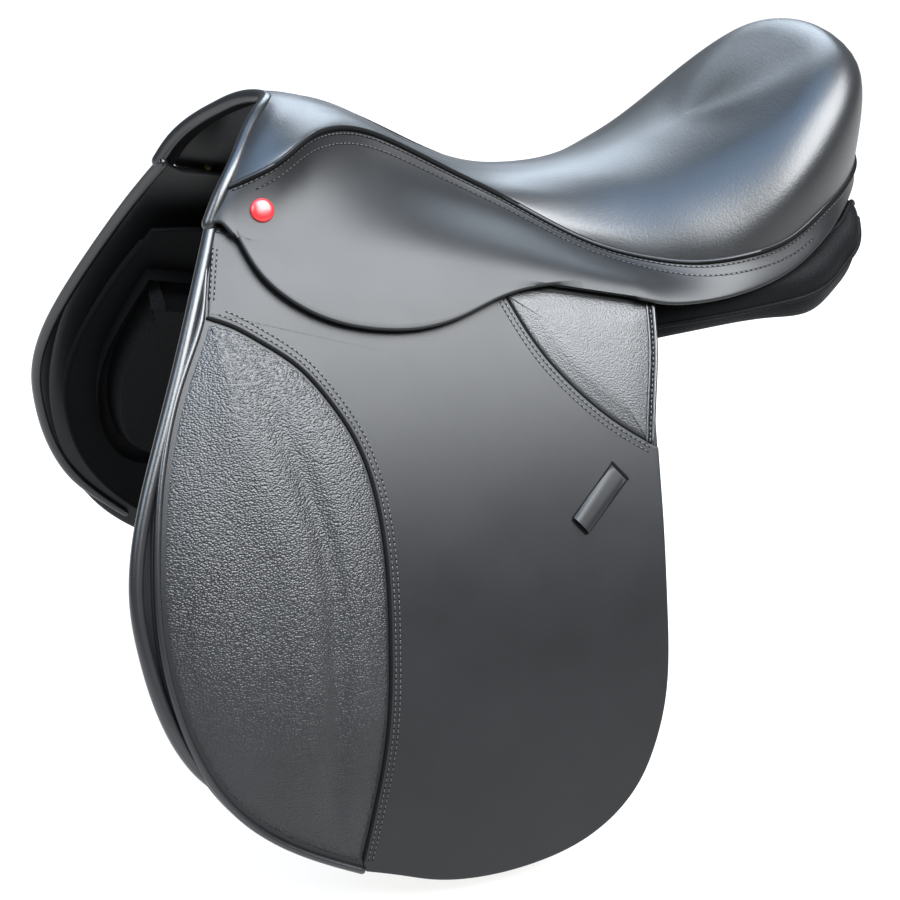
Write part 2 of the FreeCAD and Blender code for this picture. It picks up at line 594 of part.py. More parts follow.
def make_bars():
    """Stirrup bars with their thumb catches and rivets."""
    low = seat_level(RAIL_LEVEL) - 2.0
    x0 = along(60)
    plate_y = tree_half_width() + size["clearance"]
    arm_y = plate_y + size["bar_plate"] + size["bar_slot"]
    plate = box("bar_plate_box", x0, plate_y, low, "Sizes.bar_length", "Sizes.bar_plate", "18")
    arm = box("bar_arm", x0, arm_y, low + 2, "Sizes.bar_length", "Sizes.bar_thick", "Sizes.bar_height")
    front = box("bar_front", x0 + size["bar_length"] - 6, plate_y + size["bar_plate"] - 0.5, low + 2, "6",
                "Sizes.bar_slot + 1", "Sizes.bar_height")
    gap = size["turning_gap"]
    outwards = Vector(0, 1, 0)
    pin_at = Vector(x0 - CATCH_BACK, arm_y, low + 2 + TONGUE_RADIUS)
    tongue = box("bar_tongue", pin_at.x, arm_y, low + 2, str(CATCH_BACK + 1), str(TONGUE_THICK),
                 str(2 * TONGUE_RADIUS))
    knuckle = cylinder("bar_knuckle", str(TONGUE_RADIUS), str(TONGUE_THICK), pin_at, outwards)
    pin = cylinder("catch_pin", "Sizes.catch_pin",
                   f"{TONGUE_THICK} + Sizes.catch_width + 2 * Sizes.turning_gap", pin_at, outwards)
    pin_end = pin_at + outwards * (TONGUE_THICK + size["catch_width"] + 2 * gap)
    pin_head = cylinder("catch_pin_head", "Sizes.catch_pin * 1.8", "0.8", pin_end, outwards)
    whole = fuse("bar_whole", [plate, arm, front, tongue, knuckle, pin, pin_head])
    rivets, holes = [], []
    for k, share in enumerate((0.2, 0.7)):
        spot = Vector(x0 + size["bar_length"] * share, plate_y - 6, low + 6)
        shank = cylinder(f"rivet_{k}", "Sizes.rivet_radius", "6 + Sizes.bar_plate", spot, outwards)
        head = Vector(spot.x, plate_y + size["bar_plate"], spot.z)
        cap = cylinder(f"rivet_cap_{k}", "Sizes.rivet_radius * 1.7", "1.2", head, outwards)
        holes.append(cylinder(f"rivet_hole_{k}", "Sizes.rivet_radius + 0.1", "12",
                              spot - outwards * 3, outwards))
        rivets += [shank, cap]
    drilled = cut("stirrup_bar", whole, fuse("rivet_holes", holes))
    both(drilled, "stirrup_bar")
    for side in ("near", "far"):
        rail = pieces[f"tree_rail_{side}"]
        tool = doc.getObject("rivet_holes")
        if side == "far":
            far = doc.addObject("Part::Mirroring", "rivet_holes_far")
            far.Source, far.Normal = tool, Vector(0, 1, 0)
            tool = far
        rail.Label = f"tree_rail_blank_{side}"
        finish(cut(f"tree_rail_drilled_{side}", rail, tool), f"tree_rail_{side}")
    near = fuse("rivets_near", rivets)
    far = doc.addObject("Part::Mirroring", "rivets_far")
    far.Source, far.Normal = near, Vector(0, 1, 0)
    group = doc.addObject("Part::Compound", "stirrup_bar_rivets")
    group.Links = [near, far]
    finish(group, "stirrup_bar_rivets")

    lever_at = pin_at + outwards * (TONGUE_THICK + gap)
    boss = cylinder("catch_boss", "Sizes.catch_pin + 1.9", "Sizes.catch_width", lever_at, outwards)
    lever = box("catch_lever", pin_at.x - 2.5, lever_at.y, pin_at.z, "5", "Sizes.catch_width",
                "Sizes.catch_length")
    inner = size["bar_slot"] - 2.5
    tip = box("catch_tip", pin_at.x - 2.5, arm_y - inner, pin_at.z + TONGUE_RADIUS + 0.6, "5",
              str(inner + TONGUE_THICK + gap + 1), "Sizes.catch_length - 3.6")
    bore = cylinder("catch_bore", "Sizes.catch_pin + Sizes.turning_gap", "3 * Sizes.catch_width",
                    lever_at - outwards * size["catch_width"], outwards)
    both(cut("bar_catch", fuse("catch_whole", [boss, lever, tip]), bore), "bar_catch")


# ---------------------------------------------------------------- under the flaps

SWEAT_FRONT = [(240, 34), (256, 2), (272, -36), (284, -72), (289, -108), (286, -140), (276, -176),
               (258, -208), (232, -236)]
SWEAT_BOTTOM = [(232, -236), (190, -264), (130, -286), (60, -284), (14, -262), (-12, -222), (-22, -150),
                (-26, -60), (-38, 20)]


def make_sweat_flaps():
    """Sweat flap, knee block, point pocket and girth webbing of each side."""
    front, bottom = levelled(SWEAT_FRONT), levelled(SWEAT_BOTTOM)
    top = [(front[0][0] - 6, flap_level(46)), (bottom[-1][0], flap_level(32))]
    sheet_of = leather("sweat_sheet", str(SWEAT_IN), str(SWEAT_OUT), front, bottom,
                       [bottom[-1], top[1]], [top[1], top[0]], [top[0], front[0]])
    both(sheet_of, "sweat_flap")

    lead = inset(front[1:9], -7.0)
    trail = inset(front[1:9], -40.0)
    block = leather("block_sheet", f"{SWEAT_OUT} + Sizes.clearance", "-Sizes.flap_thick - 2",
                    lead, [lead[-1], trail[-1]], trail[::-1], [trail[0], lead[0]])
    both(block, "knee_block")

    x, wall = along(HEAD_X), 2.0
    low, high = flap_level(-10), flap_level(26)
    reach = size["head_length"]
    rim, room = 4.0, 1.2
    outline = [(x - rim, low - rim), (x + reach + rim, low - rim), (x + reach + rim, high), (x - rim, high)]
    cavity = [(x - room, low - room), (x + reach + room, low - room), (x + reach + room, high + 9),
              (x - room, high + 9)]
    pocket = leather("pocket_sheet", f"{POINT_IN} - {wall} - 0.8", f"{SWEAT_IN} - Sizes.clearance",
                     *[[outline[i], outline[(i + 1) % 4]] for i in range(4)])
    inside = leather("pocket_room", f"{POINT_IN} - 0.8", f"{POINT_OUT} + 0.8",
                     *[[cavity[i], cavity[(i + 1) % 4]] for i in range(4)])
    both(cut("pocket", pocket, inside), "point_pocket")


STRAP_TOP = 33.0
STRAP_X = 44.0


def strap_places():
    return [along(STRAP_X) + k * size["strap_pitch"] for k in (-1, 0, 1)]


def make_girth():
    """Girth straps, the webbing that they hang from, and the buckle guards."""
    half = size["strap_width"] / 2
    top = flap_level(STRAP_TOP)
    low = top - size["strap_length"]
    for number, x in enumerate(strap_places(), start=1):
        spots = [(x - half, top), (x - half, low + 14), (x - half + 7, low), (x + half - 7, low),
                 (x + half, low + 14), (x + half, top)]
        edges = [[spots[i], spots[(i + 1) % 6]] for i in range(6)]
        blank = leather(f"strap_{number}", str(STRAP_IN), str(STRAP_OUT), *edges)
        holes = []
        for k in range(7):
            level = low + 32 + k * size["hole_pitch"]
            turn = math.asin((level - BARREL_Z) / (BARREL + STRAP_MID))
            out = Vector(0, math.cos(turn), math.sin(turn))
            start = Vector(x, BARREL_Y, BARREL_Z) + out * (BARREL + STRAP_MID - 6)
            holes.append(cylinder(f"buckle_hole_{number}_{k}", "Sizes.strap_hole", "12", start, out))
        punched = cut(f"strap_punched_{number}", blank, fuse(f"buckle_holes_{number}", holes))
        finish(punched, f"girth_strap_near_{number}")
        mirrored(punched, f"girth_strap_far_{number}")

    x0, x1 = strap_places()[0] - half - 2, strap_places()[2] + half + 2
    web_low, web_top = top + 1.8, seat_level(RAIL_LEVEL) - 4
    hang = leather("web_hang", f"{STRAP_MID} - Sizes.web_thick / 2", f"{STRAP_MID} + Sizes.web_thick / 2",
                   [(x0, web_low), (x1, web_low)], [(x1, web_low), (x1, web_top)],
                   [(x1, web_top), (x0, web_top)], [(x0, web_top), (x0, web_low)])
    reach = barrel_y(web_top, STRAP_MID)
    across = box("web_across", x0, size["rail_inset"], web_top - size["web_thick"],
                 str(x1 - x0), str(reach - size["rail_inset"] + 0.5), "Sizes.web_thick")
    near = fuse("web_near", [hang, across])
    far = doc.addObject("Part::Mirroring", "web_far")
    far.Source, far.Normal = near, Vector(0, 1, 0)
    group = doc.addObject("Part::Compound", "girth_webbing")
    group.Links = [near, far]
    finish(group, "girth_webbing")

    play, wall = size["guard_play"], size["guard_thick"]
    g_top = flap_level(-50)
    g_low = g_top - size["guard_height"]
    outer = [(x0 - wall - 3, g_low), (x1 + wall + 3, g_low), (x1 + wall + 3, g_top), (x0 - wall - 3, g_top)]
    inner = [(x0 - 3, g_low - 20), (x1 + 3, g_low - 20), (x1 + 3, g_top + 20), (x0 - 3, g_top + 20)]
    sleeve = leather("guard_sheet", f"{STRAP_IN} - {play + wall}", f"{STRAP_OUT} + {play + wall}",
                     *[[outer[i], outer[(i + 1) % 4]] for i in range(4)])
    room = leather("guard_room", f"{STRAP_IN} - {play}", f"{STRAP_OUT} + {play}",
                   *[[inner[i], inner[(i + 1) % 4]] for i in range(4)])
    both(cut("guard", sleeve, room), "buckle_guard")


# ---------------------------------------------------------------- panels

# Each station: x, then (y, z) corners: channel low, bearing, outer low, outer high, top, channel high.
PANEL = [
    (-242, (24, 46), (55, 40), (82, 48), (84, 62), (55, 70), (26, 66)),
    (-232, (26, 28), (58, 18), (90, 22), (98, 60), (60, 74), (28, 68)),
    (-205, (30, 16), (62, 2), (104, 4), (112, 52), (64, 62), (32, 58)),
    (-160, (34, 12), (68, -4), (116, -3), (128, 32), (68, 50), (36, 46)),
    (-100, (36, 10), (70, -6), (118, -6), (128, 22), (68, 46), (38, 42)),
    (-40, (36, 10), (70, -5), (112, -8), (96, 24), (66, 45), (38, 42)),
    (40, (38, 14), (70, -2), (110, -14), (92, 24), (62, 44), (38, 42)),
    (110, (40, 34), (66, 12), (98, -18), (84, 22), (58, 44), (42, 46)),
    (146, (42, 46), (64, 20), (92, -16), (78, 22), (54, 46), (44, 52)),
]


def make_panels():
    """Flocked panels, their rear gussets and the welt along the gusset's lower edge."""
    sections = []
    for x, *corners in PANEL:
        sections.append([Vector(along(x), y, seat_level(z)) for y, z in corners])
    upper = loft(sections)
    front = levelled([(236, 4), (252, -32), (264, -70), (268, -106), (264, -140), (252, -172)])
    rear = levelled([(252, -172), (205, -186), (172, -150), (158, -96), (150, -40), (148, -18)])
    leg = leather("panel_leg", f"{SWEAT_IN} - 22", f"{SWEAT_IN} - Sizes.clearance",
                  front, rear, [rear[-1], (rear[-1][0], flap_level(-17))],
                  [(rear[-1][0], flap_level(-17)), (front[0][0], flap_level(-17))],
                  [(front[0][0], flap_level(-17)), front[0]])
    group = doc.addObject("Part::Compound", "panel_group")
    group.Links = [shaped("panel_upper", upper), leg]
    both(group, "panel")

    strips, sides = [], []
    gap, thick, welt = size["clearance"] + 0.4, 2.0, size["welt_radius"] - 0.3
    for x, *corners in PANEL[:5]:
        y_low, z_low = corners[2]
        y_high, z_high = corners[3]
        if x == -242:
            y_low, y_high = y_low + 3, y_high + 3
        strips.append([Vector(along(x), y_low + gap, seat_level(z_low)),
                       Vector(along(x), y_high + gap, seat_level(z_high - 1)),
                       Vector(along(x), y_high + gap + thick, seat_level(z_high - 1)),
                       Vector(along(x), y_low + gap + thick, seat_level(z_low))])
        sides.append(y_low + gap + thick / 2)
    lower = inset([(corners[0].x, corners[0].z) for corners in strips], -welt - size["clearance"] - 0.4)
    cords = [Vector(x, y, z) for (x, z), y in zip(lower, sides)]
    both(shaped("panel_gusset", loft(strips)), "panel_gusset")
    near = shaped("panel_welt_near", rod(cords, welt))
    far = doc.addObject("Part::Mirroring", "panel_welt_far")
    far.Source, far.Normal = near, Vector(0, 1, 0)
    group = doc.addObject("Part::Compound", "panel_welt")
    group.Links = [near, far]
    finish(group, "panel_welt")


# ---------------------------------------------------------------- fittings

RING_X, RING_LEVEL = 193.0, 72.0
STUD_SHARE = 0.43


def on_barrel(x, level, depth):
    """A point on the barrel and the outward direction there."""
    turn = math.asin((level - BARREL_Z) / (BARREL + depth))
    out = Vector(0, math.cos(turn), math.sin(turn))
    return Vector(x, BARREL_Y, BARREL_Z) + out * (BARREL + depth), out


def make_fittings():
    """Skirt studs, and the front dee rings with their staples."""
    quads = [skirt_quad(spot, spot[0]) for spot in SEAM[1:3]]
    above = (quads[0][0] * 0.74) + (quads[1][0] * 0.26)
    below = (quads[0][1] * 0.74) + (quads[1][1] * 0.26)
    out = (above - below).cross(quads[0][0] - quads[1][0]).normalize()
    if out.y < 0:
        out = out * -1
    foot = below + (above - below) * STUD_SHARE + out * size["clearance"]
    stem = cylinder("stud_stem", "Sizes.stud_radius", "Sizes.stud_height / 2", foot, out)
    dome = doc.addObject("Part::Cone", "stud_dome")
    dome.setExpression("Radius1", "Sizes.stud_radius")
    dome.setExpression("Radius2", "Sizes.stud_radius * 0.6")
    dome.setExpression("Height", "Sizes.stud_height / 2")
    dome.Placement = Placement(foot + out * (size["stud_height"] / 2), Rotation(Vector(0, 0, 1), out))
    both(fuse("stud", [stem, dome]), "skirt_stud")

    wire = size["ring_wire"]
    pivot, out = on_barrel(along(RING_X), flap_level(RING_LEVEL), wire + 0.8)
    down = Vector(1, 0, 0).cross(out).normalize()
    down = down if down.z < 0 else down * -1
    ring = doc.addObject("Part::Torus", "dee_ring")
    ring.setExpression("Radius1", "Sizes.ring_radius")
    ring.setExpression("Radius2", "Sizes.ring_wire")
    ring.Placement = Placement(pivot + down * size["ring_radius"], Rotation(Vector(0, 0, 1), out))
    both(ring, "dee_ring")

    lie = Rotation(Vector(1, 0, 0), down, out, "ZXY")
    sheet_thick, play = 0.45, 0.25
    tall = 2 * (wire + play + sheet_thick)
    strip = box("staple_strip", 0, 0, 0, "4", "9.4", str(tall))
    corner = pivot - Vector(2, 0, 0) - down * 5.4 - out * (tall / 2)
    strip.Placement = Placement(corner, lie)
    hole = box("staple_hole", 0, 0, 0, "6", "5.4", str(tall - 2 * sheet_thick))
    corner = pivot - Vector(3, 0, 0) - down * 2.5 - out * (tall / 2 - sheet_thick)
    hole.Placement = Placement(corner, lie)
    both(cut("staple", strip, hole), "dee_staple")


def check_and_write():
    """Recomputes, refuses any failed object or bad shape, and writes each piece to its own file."""
    doc.recompute()
    for obj in doc.Objects:
        if any(state in ("Invalid", "Error") for state in obj.State):
            raise RuntimeError(f"{obj.Name} failed: {obj.State}")
    os.makedirs("parts", exist_ok=True)
    for label, obj in pieces.items():
        shape = obj.Shape
        if shape.isNull() or not shape.isValid() or shape.Volume <= 0:
            raise RuntimeError(f"{label} has a bad shape")
        shape.exportStep(f"parts/{label}.step")


make_flaps()
make_skirts()
make_seat()
make_tree()
make_bars()
make_sweat_flaps()
make_girth()
make_panels()
make_fittings()
check_and_write()
print(len(pieces), "pieces")
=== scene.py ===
import json
import bmesh
import bpy
import numpy as np
from mathutils import Matrix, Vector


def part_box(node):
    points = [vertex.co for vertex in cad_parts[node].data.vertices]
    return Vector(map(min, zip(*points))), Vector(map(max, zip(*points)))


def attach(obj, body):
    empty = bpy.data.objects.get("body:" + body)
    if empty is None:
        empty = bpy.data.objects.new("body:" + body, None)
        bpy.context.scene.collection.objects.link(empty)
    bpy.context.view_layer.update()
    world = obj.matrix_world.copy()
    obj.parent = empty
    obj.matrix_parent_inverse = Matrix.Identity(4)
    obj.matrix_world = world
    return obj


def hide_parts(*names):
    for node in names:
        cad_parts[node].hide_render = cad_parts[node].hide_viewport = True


bl_info = {
    "name": "English Saddle",
    "version": (1, 0, 0),
    "blender": (4, 5, 0),
    "location": "3D View > Sidebar > Saddle",
    "description": "Leather, stitching, padding and studio for an English saddle",
    "category": "Object",
}

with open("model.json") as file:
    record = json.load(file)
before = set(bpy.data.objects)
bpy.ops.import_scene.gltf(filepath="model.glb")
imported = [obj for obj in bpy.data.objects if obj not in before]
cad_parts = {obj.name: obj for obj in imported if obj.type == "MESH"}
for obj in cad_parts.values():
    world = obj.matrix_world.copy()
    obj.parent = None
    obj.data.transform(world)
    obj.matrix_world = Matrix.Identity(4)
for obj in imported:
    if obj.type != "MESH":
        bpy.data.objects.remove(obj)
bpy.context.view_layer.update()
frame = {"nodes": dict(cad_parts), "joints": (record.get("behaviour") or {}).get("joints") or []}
JOINTS = {joint["name"]: joint for joint in frame["joints"]}
MM = 0.001
SIDES = {"near": 1.0, "far": -1.0}

# The barrel that both flaps hang round, and the straight fold line, in millimetres.
BARREL_Y, BARREL_Z = (1000 * c for c in JOINTS["near_guard_slide"]["pos_m"][1:])
HALF_WIDTH = 247.0
BARREL = HALF_WIDTH - BARREL_Y
FOLD_AT = np.array(JOINTS["near_flap_lift"]["pos_m"]) * 1000
FOLD_WAY = np.array(JOINTS["near_flap_lift"]["axis"])

# Leathers: how thick each one is, and how far its face lies outside the barrel.
SEAT_THICK = 3.0
SKIRT_THICK = 3.5
SKIRT_DEPTH = 8.0
FLAP_THICK = 4.0
OVERLAY_THICK = 1.5
OVERLAY_FACE = 1.3
SWEAT_THICK = 4.0
SWEAT_DEPTH = -20.0
LEG_FACE = SWEAT_DEPTH - SWEAT_THICK - 0.6


# ---------------------------------------------------------------- curves and surfaces

def spline(knots, values, at, start=None, end=None):
    """Smooth curve through values at the knots: cubics whose slopes and bends agree at every knot.

    start and end clamp the end slopes; an end with none is left straight."""
    knots = np.asarray(knots, float)
    values = np.asarray(values, float)
    flat = values.reshape(len(knots), -1)
    step = np.diff(knots)
    slope = np.diff(flat, axis=0) / step[:, None]
    n = len(knots)
    system = np.zeros((n, n))
    target = np.zeros_like(flat)
    rows = np.arange(1, n - 1)
    system[rows, rows - 1] = 1 / step[:-1]
    system[rows, rows] = 2 / step[:-1] + 2 / step[1:]
    system[rows, rows + 1] = 1 / step[1:]
    target[1:-1] = 3 * (slope[:-1] / step[:-1, None] + slope[1:] / step[1:, None])
    if start is None:
        system[0, :2] = (2, 1)
        target[0] = 3 * slope[0]
    else:
        system[0, 0] = 1
        target[0] = np.asarray(start, float).reshape(-1)
    if end is None:
        system[-1, -2:] = (1, 2)
        target[-1] = 3 * slope[-1]
    else:
        system[-1, -1] = 1
        target[-1] = np.asarray(end, float).reshape(-1)
    tangent = np.linalg.solve(system, target)
    at = np.asarray(at, float)
    k = np.clip(np.searchsorted(knots, at, side="right") - 1, 0, n - 2)
    h = step[k][:, None]
    t = ((at - knots[k])[:, None]) / h
    out = ((2 * t**3 - 3 * t**2 + 1) * flat[k] + (t**3 - 2 * t**2 + t) * h * tangent[k]
           + (3 * t**2 - 2 * t**3) * flat[k + 1] + (t**3 - t**2) * h * tangent[k + 1])
    return out.reshape(len(at), *values.shape[1:])


def chords(points):
    """Distance along a chain of points, from 0 to 1."""
    points = np.asarray(points, float)
    far = np.concatenate([[0], np.cumsum(np.linalg.norm(np.diff(points, axis=0), axis=1))])
    return far / far[-1]


def sampled(values, gone, share):
    """Values given along a chain at the distances gone, read off by straight lines at other distances."""
    return np.stack([np.interp(share, gone, values[:, i]) for i in range(values.shape[1])], axis=1)


def curve(points, count):
    """A smooth curve through a few points, as count points evenly spaced along it."""
    points = np.asarray(points, float)
    even = np.linspace(0, 1, count)
    if len(points) == 2:
        return points[0] + (points[1] - points[0]) * even[:, None]
    fine = spline(chords(points), points, np.linspace(0, 1, 400))
    return sampled(fine, chords(fine), even)


def length_of(points):
    """Length of a chain: the sum of its straight steps."""
    return float(np.linalg.norm(np.diff(points, axis=0), axis=1).sum())


def unit(vectors):
    """Vectors divided by their own lengths."""
    return vectors / np.maximum(np.linalg.norm(vectors, axis=-1, keepdims=True), 1e-9)


def on_barrel(x, z, depth=0.0):
    """Points on the barrel: a side-view place (x, z) on its face, moved out by depth."""
    turn = np.arcsin((np.asarray(z, float) - BARREL_Z) / BARREL)
    far = BARREL + depth
    y, z = BARREL_Y + far * np.cos(turn), BARREL_Z + far * np.sin(turn)
    return np.stack(np.broadcast_arrays(x, y, z), axis=-1)


def barrel_out(z):
    """Outward direction of the barrel at height z."""
    turn = np.arcsin((np.asarray(z, float) - BARREL_Z) / BARREL)
    return np.stack([np.zeros_like(turn), np.cos(turn), np.sin(turn)], axis=-1)


def fold_point(x):
    """The fold line at a place x along the saddle."""
    x = np.asarray(x, float)
    return FOLD_AT + FOLD_WAY * ((x - FOLD_AT[0]) / FOLD_WAY[0])[..., None]


def normals_of(grid):
    """Unit normals of a grid of points, from the cross product of its two directions."""
    across = np.gradient(grid, axis=0)
    along = np.gradient(grid, axis=1)
    return unit(np.cross(across, along))


# ---------------------------------------------------------------- meshes

def quads(rows, cols, wrap_rows=False, wrap_cols=False):
    """Corner numbers of every quad of a grid, as an array of fours."""
    r = np.arange(rows if wrap_rows else rows - 1)
    c = np.arange(cols if wrap_cols else cols - 1)
    r, c = np.meshgrid(r, c, indexing="ij")
    r2, c2 = (r + 1) % rows, (c + 1) % cols
    return np.stack([r * cols + c, r * cols + c2, r2 * cols + c2, r2 * cols + c], axis=-1).reshape(-1, 4)


def tube(path, radius, sides=12, up=(0, 0, 1), flat=1.0):
    """A round rod along a path, with round ends: circles square to the path, from a side direction
    that stays level against up."""
    path = np.asarray(path, float)
    ahead = unit(np.gradient(path, axis=0))
    up = np.broadcast_to(np.asarray(up, float), path.shape)
    side = unit(np.cross(up, ahead))
    over = np.cross(ahead, side)
    radius = np.broadcast_to(np.asarray(radius, float), len(path))
    turn = np.linspace(0, 2 * np.pi, sides, endpoint=False)
    ends = np.radians([90, 62, 32])
    first = path[:1] - ahead[:1] * (radius[0] * np.sin(ends))[:, None]
    last = path[-1:] + ahead[-1:] * (radius[-1] * np.sin(ends[::-1]))[:, None]
    centre = np.concatenate([first, path, last])
    wide = np.concatenate([radius[0] * np.cos(ends), radius, radius[-1] * np.cos(ends[::-1])])
    pick = np.clip(np.arange(len(centre)) - 3, 0, len(path) - 1)
    ring = (side[pick][:, None] * np.cos(turn)[None, :, None]
            + over[pick][:, None] * (flat * np.sin(turn))[None, :, None])
    grid = centre[:, None] + ring * wide[:, None, None]
    return grid.reshape(-1, 3), quads(len(centre), sides, wrap_cols=True)


def cord(line, depth, radius, **shape):
    """A rod along a side-view line, with its middle at a depth on the barrel."""
    return tube(on_barrel(line[:, 0], line[:, 1], depth), radius, up=barrel_out(line[:, 1]), **shape)


def plate(outline, layers, centre, rings=9, crown=None, soft=None):
    """A sheet on the barrel, cut to a closed side-view outline, as rings that step in from its edge.

    layers lists (inset, depth) from the middle of the face, over the rounded edge, to the back.
    Rings inside the first inset shrink towards the centre; crown(x, z, share) lifts the face, where
    share is 0 at the edge and 1 at the centre. soft scales the insets point by point."""
    outline = np.asarray(outline, float)
    centre = np.asarray(centre, float)
    around = np.roll(outline, -1, axis=0) - np.roll(outline, 1, axis=0)
    inward = unit(np.stack([-around[:, 1], around[:, 0]], axis=1))
    if np.sum(inward * (centre - outline)) < 0:
        inward = -inward
    soft = np.ones(len(outline)) if soft is None else soft
    face, back = layers[0], layers[-1]
    shrink = np.linspace(0, 1, rings + 1)[:-1]
    rows = [(*face, 1 - share) for share in shrink] + [(*layer, 0.0) for layer in layers[1:-1]]
    rows += [(*back, 1 - share) for share in shrink[::-1]]
    points = []
    for number, (inset, depth, share) in enumerate(rows):
        ring = outline + inward * (inset * soft)[:, None]
        ring = ring + (centre - ring) * share
        lift = crown(ring[:, 0], ring[:, 1], share) if crown and number < rings else 0.0
        points.append(on_barrel(ring[:, 0], ring[:, 1], depth + lift))
    return np.concatenate(points), quads(len(rows), len(outline), wrap_cols=True)


def rounded(thick, top, reach=1.6, inner=10.0):
    """Layers of a sheet with a rounded edge, from its face at depth top to its back: the edge goes round a
    half ellipse, reach wide and thick high."""
    turn = np.radians([0, 30, 60, 90])
    half = thick / 2
    layers = [(inner, top), (reach + 1.5, top)]
    layers += [(reach * (1 - np.sin(a)), top - half * (1 - np.cos(a))) for a in turn]
    layers += [(reach * (1 - np.sin(a)), top - thick + half * (1 - np.cos(a))) for a in turn[:-1][::-1]]
    return layers + [(reach + 1.5, top - thick), (inner, top - thick)]


def sheet_of(grid, thick, out, soft=None, normals=None):
    """A closed sheet from a grid of its outer face: the face, a rounded lower edge and the back.

    Rows run down the sheet. soft is 1 where the lower edge is round and 0 where it is cut square.
    The normals are worked out from the grid where none are given."""
    face_out = normals_of(grid) if normals is None else normals
    face_out = face_out * np.sign(np.sum(face_out * out))
    down = unit(np.cross(np.gradient(grid[-1], axis=0), face_out[-1]))
    down = down * np.sign(np.sum(down * (grid[-1] - grid[0])))
    soft = np.ones(grid.shape[1]) if soft is None else soft
    turn = np.radians([30, 60, 90, 120, 150])
    half = thick / 2
    edge = [grid[-1] - face_out[-1] * (half * (1 - np.cos(a))) + down * (half * np.sin(a) * soft)[:, None]
            for a in turn]
    back = (grid - face_out * thick)[::-1]
    whole = np.concatenate([grid, np.stack(edge), back])
    rows, cols = whole.shape[:2]
    faces = [quads(rows, cols, wrap_rows=True)]
    count = grid.shape[0]
    for col in (0, cols - 1):
        top = np.arange(count - 1)
        bottom = rows - 1 - top
        faces.append(np.stack([top, top + 1, bottom - 1, bottom], axis=1) * cols + col)
        cap = np.arange(count - 1, rows - count + 1) * cols + col
        middle = len(cap) // 2
        pairs = [[cap[i], cap[i + 1], cap[-2 - i], cap[-1 - i]] for i in range(middle - 1)]
        faces.append(np.array(pairs))
    return whole.reshape(-1, 3), np.concatenate(faces)


def stitches(path, out, pitch=3.6, size=(1.25, 0.42, 0.4)):
    """A row of sewn stitches: one small eight-sided grain per pitch along the path, lying on the face."""
    path = np.asarray(path, float)
    total = length_of(path)
    count = max(2, int(total / pitch))
    share = (np.arange(count) + 0.5) / count
    gone = chords(path)
    spots = sampled(path, gone, share)
    lift = unit(sampled(np.broadcast_to(np.asarray(out, float), path.shape), gone, share))
    ahead = unit(sampled(np.gradient(path, axis=0), gone, share))
    side = unit(np.cross(lift, ahead))
    lift = np.cross(ahead, side)
    along = np.array([-1, -0.7, 0.7, 1.0])
    wide = np.array([0.35, 1, 1, 0.35])
    turn = np.radians([0, 60, 120, 180, 240, 300])
    base = np.stack([np.repeat(along, 6) * size[0], np.outer(wide, np.cos(turn)).ravel() * size[1],
                     np.outer(wide, np.sin(turn)).ravel() * size[2]], axis=1)
    basis = np.stack([ahead, side, lift], axis=1)
    points = spots[:, None] + np.einsum("mk,skd->smd", base, basis)
    one = quads(4, 6, wrap_cols=True)
    caps = np.array([[0, 1, 2, 3], [0, 3, 4, 5], [21, 20, 19, 18], [23, 22, 21, 18]])
    one = np.concatenate([one, caps])
    faces = one[None] + (np.arange(count) * 24)[:, None, None]
    return points.reshape(-1, 3), faces.reshape(-1, 4)


def joined(parts):
    """Several (points, faces) parts as one."""
    points, faces, start = [], [], 0
    for p, f in parts:
        points.append(p)
        faces.append(f + start)
        start += len(p)
    return np.concatenate(points), np.concatenate(faces)


def piece(name, parts, material, body, side=1.0, replaces=(),
          crease=42.0, weld=0.01):
    """Makes one object from parts in millimetres, mirrored across the centre plane when side is -1.

    Points closer than weld become one, and edges sharper than crease degrees stay sharp."""
    points, faces = joined(parts)
    points = points * np.array([1, side, 1]) * MM
    mesh = bpy.data.meshes.new(name)
    mesh.from_pydata(points.tolist(), [], faces.tolist())
    build = bmesh.new()
    build.from_mesh(mesh)
    if weld:
        bmesh.ops.remove_doubles(build, verts=build.verts, dist=weld * MM)
        bmesh.ops.dissolve_degenerate(build, edges=build.edges, dist=0.002 * MM)
    loops = [e for e in build.edges if e.is_boundary]
    if loops:
        bmesh.ops.holes_fill(build, edges=loops, sides=400)
    bmesh.ops.recalc_face_normals(build, faces=build.faces)
    build.to_mesh(mesh)
    build.free()
    mesh.polygons.foreach_set("use_smooth", np.ones(len(mesh.polygons), bool))
    mesh.set_sharp_from_angle(angle=np.radians(crease))
    mesh.materials.append(material)
    mesh.update()
    obj = bpy.data.objects.new(name, mesh)
    bpy.context.scene.collection.objects.link(obj)
    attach(obj, body)
    if replaces:
        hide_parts(*replaces)
    return obj


# ---------------------------------------------------------------- shapes of the saddle

